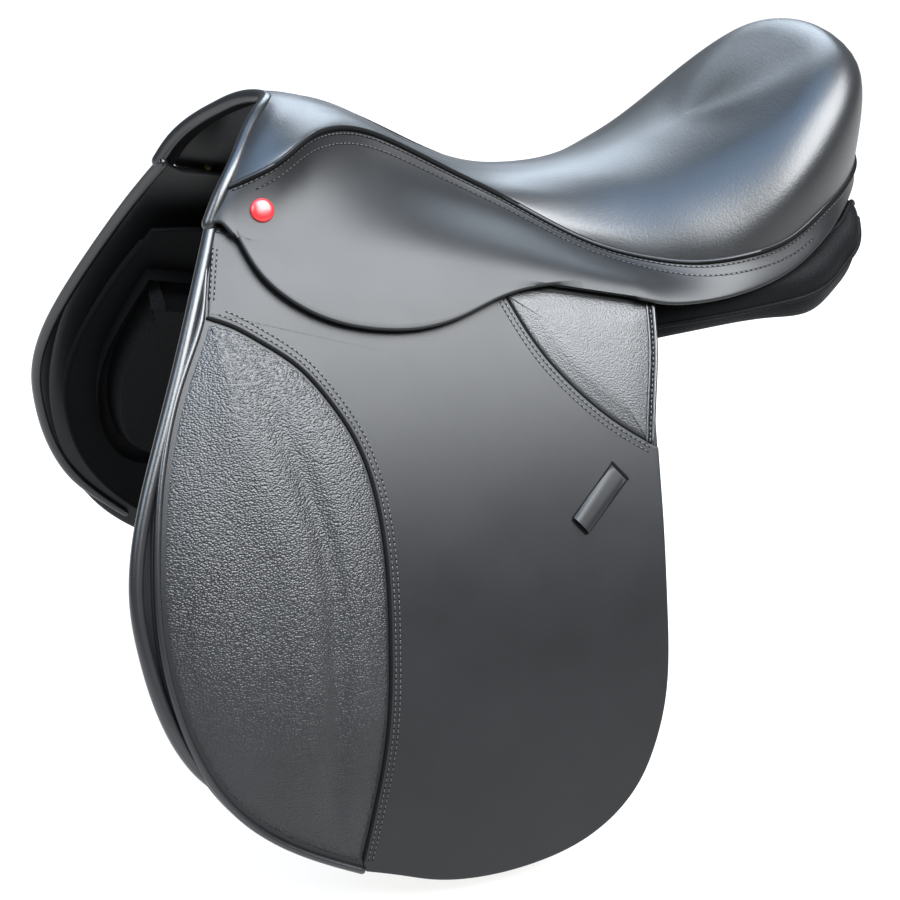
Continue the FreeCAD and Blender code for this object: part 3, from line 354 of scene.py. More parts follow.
# Seat: each row runs from the centre line out over the rim and down to the seam.
SEAT = np.array([
    [(174, 0, 150), (182, 18, 146.5), (193, 35, 138),
     (203, 49, 128.5), (212, 60.5, 118.5), (222, 70, 106)],
    [(163, 0, 149.3), (171, 22, 147.2), (181, 41, 141.5),
     (190, 55, 133.5), (197.5, 66, 125), (204, 76, 115)],
    [(150, 0, 146.7), (157, 21, 145.6), (166, 40, 141.8),
     (173, 54, 136.8), (179.5, 66, 131), (185, 75, 123.5)],
    [(137, 0, 143), (142, 17, 143), (148, 32, 141.6),
     (153, 43, 139.6), (157, 52, 137.2), (160, 58, 134)],
    [(122, 0, 137.5), (126, 12.5, 138.8), (130, 23, 139),
     (133, 31, 138.2), (135.5, 37.5, 136.8), (137, 42, 135)],
    [(104, 0, 128.5), (107, 9, 130.3), (110, 17, 131.1),
     (112, 23, 130.9), (113.2, 28, 130.1), (114, 31, 129)],
    [(84, 0, 116.5), (85, 8.5, 117.7), (86, 15.5, 118.3),
     (87, 21, 118.2), (87.6, 25.3, 117.8), (88, 28, 117)],
    [(54, 0, 102), (54, 10, 102.2), (54, 18, 101.9),
     (54, 24, 101.2), (54, 28.5, 100.3), (54, 32, 99)],
    [(22, 0, 91.5), (22, 14, 91.2), (22, 25, 90),
     (22, 33, 88.2), (22, 39.5, 86), (22, 44, 83)],
    [(-6, 0, 89), (-6.5, 20, 87.8), (-7, 36, 84),
     (-7.5, 46, 79.8), (-8, 55, 74), (-8, 62, 67)],
    [(-32, 0, 90.3), (-34, 27, 87.6), (-36, 48, 80.8),
     (-37, 61, 74), (-38, 73, 65.5), (-39, 82, 54)],
    [(-54, 0, 93.2), (-59, 34, 90), (-63, 60, 82),
     (-65, 76, 74), (-66, 90, 63.5), (-67, 100, 49)],
    [(-74, 0, 97.6), (-82, 41, 94.8), (-88, 72, 87.5),
     (-91, 90, 79), (-93.5, 105, 67), (-95, 114, 48)],
    [(-92, 0, 102.8), (-106, 48, 103.5), (-117, 80, 99.5),
     (-123, 99, 91.5), (-127.5, 114, 79), (-130, 122, 53)],
    [(-106, 0, 108), (-127, 49, 114.8), (-145, 82, 117.5),
     (-154, 101, 112.5), (-160, 116, 99), (-163, 118, 61)],
    [(-118, 0, 113), (-145, 46, 126.5), (-168, 74, 137),
     (-181, 91, 139), (-190, 106, 126), (-191, 108, 76)],
    [(-126, 0, 116.5), (-158, 38, 137), (-188, 59, 155.5),
     (-205, 73, 163), (-217, 88, 152), (-216, 90, 85)],
    [(-132, 0, 119.5), (-168, 25, 143.8), (-202, 37, 167),
     (-222, 45, 177), (-238, 56, 164), (-244, 56, 93.5)],
    [(-135, 0, 121), (-174, 0, 148), (-206, 0, 171),
     (-229, 0, 182), (-247, 0, 165), (-262, 0, 99)],
], float)

# The same seam, with the skirt's lower edge or the fold line that it meets.
REAR_EDGE = [(-67, 136, 30), (-95, 136, 29.5), (-132, 133, 34), (-167, 125, 45), (-196, 112, 62),
             (-218, 92, 72), (-246, 55, 83), (-260, 0, 89)]
FOLD_XS = [216.5, 196, 170, 144, 120, 92, 56, 23, -8, -44]
SKIRT_EDGE = [(216.5, 82.4), (213, 74), (205, 59), (190, 45), (167, 33), (139, 26), (109, 24), (81, 28),
              (52, 36.5), (23, 41), (-7, 41.1)]
ARCH = [(174, 0, 147), (183, 20, 144), (197, 40, 133), (210, 60, 119), (222, 72, 104),
        (231.2, 79.2, 87.5)]

# Side views, (x, z): the flap with its roll and seams, and the sweat flap and panel leg under it.
ROLL_FRONT = [(233, 90), (251.5, 52), (269, 15), (290, -30), (306, -72), (312, -110), (310, -135),
              (302, -172), (284, -211), (258, -240), (240, -256)]
SWEAT_FRONT = [(240, 34), (256, 2), (272, -36), (284, -72), (289, -108), (286, -140), (276, -176),
               (258, -208), (232, -236)]
SWEAT_BOTTOM = [(232, -236), (190, -264), (130, -286), (60, -284), (14, -262), (-12, -222), (-22, -150),
                (-26, -60), (-38, 20)]
LEG_FRONT = [(234, 10), (250, -32), (262, -70), (266, -106), (262, -140), (250, -168), (226, -184),
             (196, -176), (172, -148), (160, -96), (152, -40), (150, -10)]
FLAP_BOTTOM = [(240, -256), (222, -271), (172, -299), (130, -314), (95, -319), (53, -315), (25, -306),
               (3, -292), (-18, -267), (-28, -244), (-36, -213), (-40, -150), (-42, -98), (-47, -27),
               (-57, 27)]
PIPED_EDGE = [(231, 86), (236, 71), (240.5, 56), (245.5, 41), (255, 24), (268, 2), (278, -21),
              (286, -47), (292, -79), (295, -107), (295, -135), (291, -165), (283, -194), (270, -223),
              (249, -251), (222, -273), (194, -289), (177, -297.4)]
KNEE_SEAM = [(242, 40), (226, 34), (212, 26), (189, 10), (173, -9), (161, -29), (154, -49), (150, -75),
             (149, -101), (151, -148), (157, -210), (167, -256), (176, -293)]
PATCH_SEAM = [(46, 39), (30, 9), (6, -19), (-14, -36), (-40.5, -53)]
PATCH_HEM = [(-41.0, -51.5), (-47, -25), (-53.5, 1), (-57.5, 27)]
FLAP_ROOF = [(-57, 28.5), (214, 81), (223, 86.5), (231, 91.5)]
SWEAT_ROOF = [SWEAT_BOTTOM[-1], (-38, 31), (234, 47), SWEAT_FRONT[0]]


def seat_face(rows=150, cols=34):
    """The near half of the seat's face: smooth curves along the seat through each column of SEAT, then
    smooth curves across from the centre line to the seam.

    The curves across leave the centre line level, along the slope of the seat's spine."""
    spread = chords(SEAT[:, 2] + SEAT[:, 5])
    last = SEAT[-1] - SEAT[-2]
    end = np.stack([0 * last[:, 0], last[:, 1], 0 * last[:, 2]], axis=1) / (spread[-1] - spread[-2])
    along = spline(spread, SEAT, np.linspace(0, 1, rows), end=end)
    knots = np.concatenate([[0], np.cumsum(np.linalg.norm(np.diff(SEAT, axis=1), axis=2).mean(axis=0))])
    spine = along[:, 0]
    slope = np.gradient(spine[:, 2]) / np.gradient(spine[:, 0])
    way = along[:, 1] - spine
    level = np.linalg.norm(way[:, :2], axis=1, keepdims=True)
    start = np.concatenate([way[:, :2], (slope * way[:, 0])[:, None]], axis=1) / level
    ends = knots[-1] * np.linspace(0, 1, cols) ** 0.92
    return np.swapaxes(spline(knots, np.swapaxes(along, 0, 1), ends, start=start), 0, 1)


def skirt_pairs(count):
    """Matching points along the seam and along the line that the fixed skirt comes down to.

    The lower line is a free edge at the front, the straight fold, and a free edge again behind it."""
    seam = np.array([(222, 70, 106), (214, 73.5, 110), *SEAT[1:, 5].tolist()])
    front = np.array([on_barrel(230.2, 86.8, 5.5), on_barrel(224, 85.8, SKIRT_DEPTH)])
    fold = fold_point(np.array(FOLD_XS))
    station = chords(seam)
    even = np.linspace(0, 1, count)
    top = spline(station, seam, even)
    first, last = 2, 1 + len(fold)
    bottom = np.empty_like(top)
    ahead, behind = even < station[first], even > station[last]
    on_fold = ~(ahead | behind)
    bottom[ahead] = spline(station[:first + 1], np.concatenate([front, fold[:1]]), even[ahead])
    bottom[on_fold] = fold_point(np.interp(even[on_fold], station[first:last + 1], FOLD_XS))
    rear = np.concatenate([fold[-1:], np.array(REAR_EDGE, float)])
    leave = (fold[-1] - fold[-2]) / (station[last] - station[last - 1])
    bottom[behind] = spline(station[last:], rear, even[behind], start=leave)
    bottom[-1, 1] = top[-1, 1] = 0.0
    return top, bottom, on_fold


def skirt_face(count=170, rows=20):
    """The fixed skirt's face: from the seam to the fold line on curves that leave the seam steeply and meet
    the fold in the barrel's own direction."""
    top, bottom, on_fold = skirt_pairs(count)
    gap = np.linalg.norm(bottom - top, axis=1, keepdims=True)
    chord = unit(bottom - top)
    turn = np.arcsin(np.clip((bottom[:, 2] - BARREL_Z) / (BARREL + SKIRT_DEPTH), -1, 1))
    barrel_down = np.stack([0 * turn, np.sin(turn), -np.cos(turn)], axis=1)
    held = np.clip((bottom[:, 0] + 110) / 60, 0, 1)[:, None]
    meet = unit(barrel_down * held + (chord + np.array([0, 0, -0.15])) * (1 - held))
    steep = np.clip(gap / 60, 0, 1)
    leave = unit(chord + np.array([0, -0.22, -0.28]) * steep)
    t = np.linspace(0, 1, rows)[:, None, None]
    grid = ((2 * t**3 - 3 * t**2 + 1) * top + (t**3 - 2 * t**2 + t) * gap * leave
            + (3 * t**2 - 2 * t**3) * bottom + (t**3 - t**2) * gap * meet)
    return grid, on_fold


def lobe_face(count=110, rows=14):
    """The lifting part of the skirt: from the fold line down the barrel to the curved lower edge."""
    edge = curve(SKIRT_EDGE, count)
    share = chords(edge)[:, None]
    top_x = edge[0, 0] + (edge[-1, 0] - edge[0, 0]) * share[:, 0] ** 0.94
    top = fold_point(top_x)
    low = on_barrel(edge[:, 0], edge[:, 1], SKIRT_DEPTH)
    t = np.linspace(0, 1, rows)[:, None, None]
    flat = top + (low - top) * t
    turn = np.arctan2(flat[..., 2] - BARREL_Z, flat[..., 1] - BARREL_Y)
    far = BARREL + SKIRT_DEPTH
    round_ = np.stack([flat[..., 0], BARREL_Y + far * np.cos(turn), BARREL_Z + far * np.sin(turn)], axis=-1)
    ease = np.clip(t * np.linalg.norm(low - top, axis=1)[None, :, None] / 30.0, 0, 1)
    return flat + (round_ - flat) * (3 * ease**2 - 2 * ease**3)


def closed(*runs, spacing=3.0):
    """A closed outline from runs of (x, z) points, each made smooth and evenly spaced."""
    points = []
    for run in runs:
        fine = curve(run, 60)
        points.append(curve(run, max(3, int(length_of(fine) / spacing)))[:-1])
    return np.concatenate(points)


def moved(run, distance):
    """A run of (x, z) points moved square to itself, to the left of its direction."""
    run = np.asarray(run, float)
    ahead = unit(np.gradient(run, axis=0))
    return run + np.stack([-ahead[:, 1], ahead[:, 0]], axis=1) * distance


def flap_edge(count=110):
    """The flap leather's front edge, a little outside the piping that is sewn along it."""
    reach = np.interp(np.linspace(0, 1, count), [0, 0.1, 0.7, 1], [0.5, 4.0, 3.5, 0.8])
    return moved(curve(PIPED_EDGE, count), reach[:, None])


# Panel: each row is x and then eight (y, z) corners round the section, from the channel's low corner.
PANEL = [
    (-238, (30, 52), (52, 47), (70, 50), (77, 55), (76, 61), (69, 66), (50, 68), (32, 64)),
    (-231, (28, 38), (52, 28), (79, 29), (91, 40), (92, 57), (78, 70), (56, 73), (30, 66)),
    (-218, (28, 25), (54, 13), (86, 12), (100, 24), (104, 47), (91, 63), (62, 68), (31, 60)),
    (-196, (30, 16), (58, 3), (94, 1), (110, 10), (117, 36), (100, 52), (66, 58), (34, 52)),
    (-160, (34, 12), (64, 0), (100, 1), (115, 5), (123, 26), (110, 40), (72, 50), (36, 46)),
    (-100, (36, 10), (66, -4), (102, -3), (116, 1), (124, 19), (108, 34), (70, 46), (38, 42)),
    (-40, (36, 10), (66, -4), (94, -9), (108, -9), (106, 10), (94, 26), (68, 44), (38, 42)),
    (40, (38, 14), (66, -1), (92, -11), (106, -13), (102, 8), (90, 24), (64, 43), (38, 42)),
    (110, (40, 34), (60, 17), (82, -4), (94, -15), (92, 4), (82, 22), (60, 42), (42, 44)),
    (146, (44, 46), (58, 28), (78, 0), (88, -12), (86, 4), (77, 22), (58, 42), (46, 50)),
]


def panel_surface(rows=90, round_=40):
    """The panel as a closed tube: smooth along its stations, and each section a smooth closed curve."""
    stations = np.array([row[0] for row in PANEL], float)
    corners = np.array([row[1:] for row in PANEL], float)
    at = stations[0] + (stations[-1] - stations[0]) * np.linspace(0, 1, rows) ** 1.5
    rings = spline(stations, corners, at)
    looped = np.concatenate([rings[:, -3:], rings, rings[:, :3]], axis=1)
    knots = np.arange(looped.shape[1], dtype=float)
    share = 3 + np.linspace(0, 8, round_, endpoint=False)
    smooth = np.swapaxes(spline(knots, np.swapaxes(looped, 0, 1), share), 0, 1)
    return np.concatenate([np.broadcast_to(at[:, None, None], (rows, round_, 1)), smooth], axis=2)


# ---------------------------------------------------------------- single pieces

def two_faced(above, below):
    """Two faces a leather's thickness apart, closed along the seam and the front, on both sides."""
    rows, cols = above.shape[:2]
    under = rows * cols
    top = quads(rows, cols)
    ring = np.arange(rows - 1) * cols + cols - 1
    seam = np.stack([ring, ring + cols, ring + cols + under, ring + under], axis=1)
    line = np.arange(cols - 1)
    front = np.stack([line, line + 1, line + 1 + under, line + under], axis=1)
    faces = np.concatenate([top, top + under, seam, front])
    points = np.concatenate([above.reshape(-1, 3), below.reshape(-1, 3)])
    return [(points * (1, mirror, 1), faces) for mirror in (1.0, -1.0)]


def stud_dome(grid):
    """The stud: a low dome turned about the skirt's own outward direction, at the frame's stud."""
    low, high = (np.array(corner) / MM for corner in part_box("skirt_stud_near"))
    middle = (low + high) / 2
    column = int(np.argmin(np.abs(grid[len(grid) // 2, :, 0] - middle[0])))
    row = int(np.argmin(np.abs(grid[:, column, 2] - middle[2])))
    foot = grid[row, column]
    out = np.cross(grid[row + 1, column] - foot, grid[row, column + 1] - foot)
    out = unit(out * np.sign(out[1]))
    side_way = unit(np.cross(out, (0, 0, 1.0)))
    up_way = np.cross(side_way, out)
    turn = np.linspace(0, 2 * np.pi, 40, endpoint=False)
    profile = np.array([(7.6, -0.5), (7.8, 0.4), (7.6, 1.2), (6.9, 1.9), (5.6, 2.5), (3.8, 2.9), (1.9, 3.1),
                        (0.02, 3.2)])
    ring = side_way * np.cos(turn)[:, None] + up_way * np.sin(turn)[:, None]
    dome = foot + profile[:, :1, None] * ring[None] + out * profile[:, 1:, None]
    return dome.reshape(-1, 3), quads(len(profile), len(turn), wrap_cols=True)


def flap_sheet(edge, bottom):
    """The flap's whole leather, with a rounded edge that is widest at its top front corner."""
    outline = closed(edge, bottom, [tuple(bottom[-1]), FLAP_ROOF[0]], FLAP_ROOF[:2], FLAP_ROOF[1:],
                     [FLAP_ROOF[-1], tuple(edge[0])])
    front = (outline[:, 0] > 228) & (outline[:, 1] < 70)
    soft = np.where(front, 2.2, 1.0)
    return plate(outline, rounded(FLAP_THICK, 0.0), (120, -120), rings=26, soft=soft)


def flap_overlay(bottom, knee, patch):
    """The upper leather, cut to the knee roll's seam, the flap's lower edge and the thigh patch's seam."""
    low = moved(bottom, -0.35)
    sole = [p for p in low if p[0] < knee[-1, 0] - 0.5 and p[1] < patch[-1, 1] - 0.5]
    rear_top, front_top, front_low = (50, 44.5), (230, 83.5), (237.5, 57)
    outline = closed([rear_top, front_top], [front_top, front_low], [front_low, tuple(knee[0])], knee,
                     [tuple(knee[-1]), tuple(sole[0])], np.array(sole), [tuple(sole[-1]), tuple(patch[-1])],
                     patch[::-1], [tuple(patch[0]), rear_top], spacing=2.5)
    layers = rounded(OVERLAY_THICK, OVERLAY_FACE, reach=0.9, inner=3.0)
    return plate(outline, layers, (118, 10), rings=26)


def front_roll(line, thick):
    """The round roll along the flap's front, which thins and sinks towards its lower end."""
    share = np.linspace(0, 1, len(line))
    depth = np.interp(share, [0, 0.75, 1], [-1.5, -1.5, -6.5])
    radius = np.interp(share, [0, 0.1, 0.85, 1], [0.92, 1, 1, 0.6]) * thick / 2
    return cord(line, depth, radius, sides=16)


def roll_groove(line, rim):
    """The sunk strip of leather between the front roll and the piping inside it."""
    share = np.linspace(0, 1, 90)
    outer = sampled(line, chords(line), share)
    inner = sampled(rim, chords(rim), share * 0.84)
    across = np.linspace(0, 1, 6)
    strip = outer + (inner - outer) * across[:, None, None]
    sunk = np.interp(across, [0, 0.4, 1], [-4.0, -3.0, -0.6])[:, None]
    return sheet_of(on_barrel(strip[..., 0], strip[..., 1], sunk), 1.6, (0, 1, 0.3))


def edge_piping(rim, thick):
    """The piping along the flap's edge, thin where it starts under the skirt."""
    swelling = np.interp(np.arange(len(rim)), [0, 16, 20, len(rim) - 1], [0.5, 0.55, 1, 1])
    return cord(rim, 0.9, swelling * thick / 2)


def knee_puff(x, z, share):
    """Padding of the knee roll: rises quickly from the seams, with one long soft hollow down its middle."""
    rise = 3.6 * (1 - (1 - share) ** 4)
    middle = np.interp(-z, [20, 45, 85, 120, 180, 244], [208, 198, 188, 185, 188, 194])
    hollow = np.exp(-((x - middle) / 8.0) ** 2) * 2.6 * np.clip((-z + 10) / 70, 0, 1)
    swell = np.exp(-((x - middle - 24) / 20.0) ** 2) * 1.4
    return rise + (swell - hollow) * np.clip(share * 4, 0, 1)


def knee_pad(rim, knee, piping):
    """The padded insert of the knee roll, between the piping and its own seam."""
    front = moved(rim[20:-2], -piping / 2 - 1.0)
    seam = moved(knee, 0.9)
    outline = closed(front, [tuple(front[-1]), tuple(seam[-2])], seam[1:-2][::-1],
                     [tuple(seam[1]), tuple(front[0])], spacing=2.5)
    layers = [(7.0, 0.9), (4.0, 0.5), (2.0, 0.0), (0.6, -0.7), (0.0, -1.4), (3.0, -1.4)]
    return plate(outline, layers, (222, -130), rings=24, crown=knee_puff)


def patch_puff(x, z, share):
    """Padding of the thigh patch: thin and even, with a quick rise at its edges."""
    return 1.3 * (1 - (1 - share) ** 5)


def thigh_cushion(patch, hem):
    """The thigh patch, from its seam to the hem at the flap's rear edge."""
    inner = moved(patch, -0.8)
    top = (48, 46)
    outline = closed(inner[1:-1], [tuple(inner[-2]), tuple(hem[0])], hem, [tuple(hem[-1]), top],
                     [top, tuple(inner[1])], spacing=2.5)
    layers = [(6.0, 0.7), (3.0, 0.6), (1.4, 0.3), (0.5, -0.3), (0, -1.2), (3, -1.2)]
    return plate(outline, layers, (-8, 4), rings=16, crown=patch_puff)


def keeper():
    """The keeper loop, arched off the flap at its mouth, and painted shade in its mouth and slit and along
    its edges.
    """
    start, finish = np.array([17.5, -95.0]), np.array([-13.5, -66.5])
    way = unit(finish - start)
    across = np.array([-way[1], way[0]]) * 6.9
    share = np.linspace(0, 1, 26)
    wide = np.linspace(-1, 1, 13)
    spots = start + way * (share * np.linalg.norm(finish - start))[:, None]
    face = spots[:, None] + across * wide[None, :, None]
    arch = 1.3 + 3.6 * (1 - share) ** 0.6 * (1 - 0.5 * share)
    lift = arch[:, None] - (0.9 + 1.3 * (1 - share[:, None])) * wide[None] ** 4
    strap = sheet_of(on_barrel(face[..., 0], face[..., 1], lift), 1.5, (0, 1, 0.3))
    mouth = spots[0] - way + across * np.linspace(-0.86, 0.86, 14)[:, None]
    slit = spots[-1] + way + across * np.linspace(-1.0, 1.0, 14)[:, None]
    # Near-black rods: painted shade in the mouth and the slit, and along both long edges of the strap.
    slots = [cord(line, 1.35, 1.15, sides=8, flat=0.5) for line in (mouth, slit)]
    slots += [cord(spots + across * edge, 1.3, 0.6, sides=6, flat=0.5) for edge in (-1.02, 1.02)]
    return strap, slots


def panel_leg():
    """The thin forward leg of the panel, which lies behind the sweat flap, with a half round edge."""
    inset, half = 9.0, 10.5
    turn = np.radians(np.linspace(0, 90, 7))
    arc = [(inset * (1 - np.sin(a)), LEG_FACE - half * (1 - np.cos(a))) for a in turn]
    arc += [(i, 2 * LEG_FACE - depth) for i, depth in arc[:-1][::-1]]
    layers = [(inset + 4, LEG_FACE), *arc, (inset + 4, LEG_FACE - 2 * half)]
    return plate(closed(LEG_FRONT, [LEG_FRONT[-1], LEG_FRONT[0]]), layers, (215, -90), rings=12)


def panel_gusset(grid):
    """The gusset, a belt laid on the outer side of the panel, and the cords in its two seams."""
    rear = grid[:56]
    belt = rear[:, 18:26]
    out = unit(belt - rear.mean(axis=1, keepdims=True))
    gusset = sheet_of(np.swapaxes(belt + out * 1.6, 0, 1), 1.4, (0, 1, 0))
    cords = [tube(belt[:, column] + out[:, column] * 1.6, 1.7, up=(0, 0.6, 0.8)) for column in (0, -1)]
    return gusset, cords


def sweat_flap():
    """The sweat flap under the flap, and the roll that binds its edge."""
    outline = closed(SWEAT_FRONT, SWEAT_BOTTOM, *[SWEAT_ROOF[i:i + 2] for i in range(3)])
    leather_sheet = plate(outline, rounded(SWEAT_THICK, SWEAT_DEPTH), (120, -110), rings=20)
    rim = moved(curve(SWEAT_FRONT + SWEAT_BOTTOM[1:4], 120), -0.5)
    return leather_sheet, cord(rim, SWEAT_DEPTH - SWEAT_THICK / 2, 2.6)


def knee_block():
    """The padded block behind the knee, a band along the sweat flap's front."""
    lead, trail = (moved(curve(SWEAT_FRONT[1:], 60), -inset) for inset in (8.0, 40.0))
    outline = closed(lead, [tuple(lead[-1]), tuple(trail[-1])], trail[::-1],
                     [tuple(trail[0]), tuple(lead[0])])
    layers = [(9, -6.6), (6, -7.0), (3, -8.6), (1, -12), (0, -17), (0.5, -19.2), (6, -19.4)]
    return plate(outline, layers, (250, -110), rings=10)


# ---------------------------------------------------------------- materials

MATERIALS = {}
PEBBLE_WANDER = 0.0004


def shader(name, colour, roughness, coat=0.0, sheen=0.0, metal=0.0, specular=0.5):
    """A new material and its Principled node, with the uniform values set on the node's own sockets."""
    material = bpy.data.materials.new(name)
    material.use_nodes = True
    node = material.node_tree.nodes["Principled BSDF"]
    node.inputs["Base Color"].default_value = (*colour, 1)
    node.inputs["Roughness"].default_value = roughness
    node.inputs["Metallic"].default_value = metal
    node.inputs["Specular IOR Level"].default_value = specular
    node.inputs["Coat Weight"].default_value = coat
    node.inputs["Coat Roughness"].default_value = 0.25
    node.inputs["Sheen Weight"].default_value = sheen
    node.inputs["Sheen Roughness"].default_value = 0.4
    return material, node


def add_node(material, kind, **values):
    """A new node, with each value set on the socket of its name, or else as a setting of the node."""
    node = material.node_tree.nodes.new(kind)
    for key, value in values.items():
        if key in node.inputs:
            node.inputs[key].default_value = value
        else:
            setattr(node, key, value)
    return node


def wire(material, out, into):
    """Joins one node's output to another's input."""
    material.node_tree.links.new(out, into)


def place_node(material):
    """The object's own coordinates, in metres."""
    return add_node(material, "ShaderNodeTexCoord").outputs["Object"]


def colour_range(material, factor, low, high, into):
    """Runs a factor through a ramp of two colours, which change over its middle part, into a socket."""
    ramp = add_node(material, "ShaderNodeValToRGB")
    ramp.color_ramp.elements[0].color = (*low, 1)
    ramp.color_ramp.elements[1].color = (*high, 1)
    ramp.color_ramp.elements[0].position = 0.3
    ramp.color_ramp.elements[1].position = 0.7
    wire(material, factor, ramp.inputs["Fac"])
    wire(material, ramp.outputs["Color"], into)


def leather(name, colour, roughness, pore, depth, pebble=0.0, pebble_depth=0.0, cloud=0.25,
            specular=0.5, stretch=(1.0, 1.0, 1.0)):
    """Leather: cloudy colour, fine pores and, where pebbled, rounded cells with creases between them.

    pore and pebble are counts per metre, depth and pebble_depth are in metres, cloud is the share by which
    the colour wanders, and stretch scales the pebbles' count along each axis."""
    material, node = shader(name, colour, roughness, specular=specular)
    place = place_node(material)
    clouds = add_node(material, "ShaderNodeTexNoise", Scale=14.0, Detail=5.0, Roughness=0.6)
    wire(material, place, clouds.inputs["Vector"])
    low = tuple(c * (1 - cloud) for c in colour)
    high = tuple(c * (1 + cloud) for c in colour)
    colour_range(material, clouds.outputs["Fac"], low, high, node.inputs["Base Color"])
    gloss = add_node(material, "ShaderNodeMapRange")
    gloss.inputs["To Min"].default_value = roughness - 0.05
    gloss.inputs["To Max"].default_value = roughness + 0.07
    wire(material, clouds.outputs["Fac"], gloss.inputs["Value"])
    wire(material, gloss.outputs["Result"], node.inputs["Roughness"])
    fine = add_node(material, "ShaderNodeTexNoise", Scale=pore, Detail=3.0, Roughness=0.7)
    wire(material, place, fine.inputs["Vector"])
    bump = add_node(material, "ShaderNodeBump", Strength=1.0, Distance=depth)
    wire(material, fine.outputs["Fac"], bump.inputs["Height"])
    last = bump
    if pebble:
        warp = add_node(material, "ShaderNodeTexNoise", Scale=pebble * 0.35, Detail=2.0)
        wire(material, place, warp.inputs["Vector"])
        mix = add_node(material, "ShaderNodeVectorMath", operation="MULTIPLY_ADD")
        mix.inputs[1].default_value = (PEBBLE_WANDER,) * 3
        wire(material, warp.outputs["Color"], mix.inputs[0])
        scaled = add_node(material, "ShaderNodeVectorMath", operation="MULTIPLY")
        scaled.inputs[1].default_value = stretch
        wire(material, place, scaled.inputs[0])
        wire(material, scaled.outputs["Vector"], mix.inputs[2])
        cells = add_node(material, "ShaderNodeTexVoronoi", feature="F1", Scale=pebble)
        wire(material, mix.outputs["Vector"], cells.inputs["Vector"])
        grain = add_node(material, "ShaderNodeBump", Strength=1.0, Distance=pebble_depth, invert=True)
        wire(material, cells.outputs["Distance"], grain.inputs["Height"])
        wire(material, bump.outputs["Normal"], grain.inputs["Normal"])
        last = grain
    wire(material, last.outputs["Normal"], node.inputs["Normal"])
    return material


def metal(name, colour, roughness, scratch=900.0):
    """Metal with fine brushed variation in its gloss."""
    material, node = shader(name, colour, roughness, metal=1.0)
    place = place_node(material)
    marks = add_node(material, "ShaderNodeTexNoise", Scale=scratch, Detail=3.0)
    wire(material, place, marks.inputs["Vector"])
    gloss = add_node(material, "ShaderNodeMapRange")
    gloss.inputs["To Min"].default_value = max(0.05, roughness - 0.08)
    gloss.inputs["To Max"].default_value = roughness + 0.1
    wire(material, marks.outputs["Fac"], gloss.inputs["Value"])
    wire(material, gloss.outputs["Result"], node.inputs["Roughness"])
    return material


def woven(name, colour):
    """Webbing: two crossed waves make the weave."""
    material, node = shader(name, colour, 0.85, sheen=0.2)
    place = place_node(material)
    waves = [add_node(material, "ShaderNodeTexWave", Scale=260.0, bands_direction=axis) for axis in "XY"]
    for wave in waves:
        wire(material, place, wave.inputs["Vector"])
    both = add_node(material, "ShaderNodeMath", operation="MAXIMUM")
    wire(material, waves[0].outputs["Fac"], both.inputs[0])
    wire(material, waves[1].outputs["Fac"], both.inputs[1])
    bump = add_node(material, "ShaderNodeBump", Strength=0.6, Distance=0.0004)
    wire(material, both.outputs["Value"], bump.inputs["Height"])
    wire(material, bump.outputs["Normal"], node.inputs["Normal"])
    low = tuple(c * 0.7 for c in colour)
    colour_range(material, both.outputs["Value"], low, colour, node.inputs["Base Color"])
    return material


def laminate(name, colour):
    """Moulded beech: long bands of lighter and darker wood."""
    material, node = shader(name, colour, 0.5)
    place = place_node(material)
    rings = add_node(material, "ShaderNodeTexWave", Scale=60.0, Distortion=4.0, Detail=3.0,
                     bands_direction="Y")
    wire(material, place, rings.inputs["Vector"])
    low = tuple(c * 0.7 for c in colour)
    colour_range(material, rings.outputs["Fac"], low, colour, node.inputs["Base Color"])
    return material


def make_materials(look):
    """Makes every finish, all leathers as shares of the one leather colour."""
    def shade(share):
        """The leather's colour, scaled."""
        return tuple(c * share for c in look.leather_colour)

    MATERIALS.update({
        "seat": leather("seat_leather", shade(0.8), 0.38, 1400.0, 0.00006, pebble=620.0,
                        pebble_depth=0.00006, specular=0.55),
        "smooth": leather("smooth_leather", shade(0.7), 0.42, 1500.0, 0.00006, cloud=0.2, specular=0.3),
        "grained": leather("pebbled_leather", shade(0.9), 0.36, 1800.0, 0.00006, pebble=look.grain_scale,
                           pebble_depth=0.00042, specular=0.42, stretch=(0.8, 1.0, 1.15)),
        "patch": leather("printed_leather", shade(1.2), 0.42, 1800.0, 0.00006, pebble=900.0,
                         pebble_depth=0.0002, specular=0.55),
        # Darker share than the outer leathers: partly the lining's own tone, partly painted shade for the
        # shaded underside and inside.
        "lining": leather("lining_leather", shade(0.4), 0.55, 1500.0, 0.00006, pebble=700.0,
                          pebble_depth=0.0001, specular=0.03),
        # Darker share than the outer leathers: partly the panel's own tone, partly painted shade for the
        # panels and their cords under the saddle.
        "panel": leather("panel_leather_darkened_as_shade", shade(0.5), 0.55, 1500.0, 0.00006, pebble=620.0,
                         pebble_depth=0.0003, specular=0.05),
        "piping": leather("piping_leather", shade(0.8), 0.3, 1600.0, 0.00004, specular=0.6),
        "thread": leather("sewing_thread", (0.03, 0.031, 0.033), 0.4, 3000.0, 0.00005),
        # Near-black, not a leather of the saddle: painted shade for the rods in seams, stitch grooves and
        # the keeper's mouth, slit and edges.
        "hole": leather("painted_seam_shade", (0.0015, 0.0015, 0.0016), 0.8, 1500.0, 0.00002, specular=0.1),
        "brass": metal("brass", (0.72, 0.5, 0.22), 0.22),
        "steel": metal("stainless_steel", (0.55, 0.56, 0.58), 0.3),
        "spring": metal("spring_steel", (0.16, 0.17, 0.2), 0.38),
        "webbing": woven("linen_webbing", (0.62, 0.55, 0.42)),
        "wood": laminate("beech_laminate", (0.5, 0.34, 0.19)),
    })
    MATERIALS["enamel"] = shader("red_enamel", tuple(look.stud_colour), 0.3, coat=0.15)[0]


# ---------------------------------------------------------------- settings

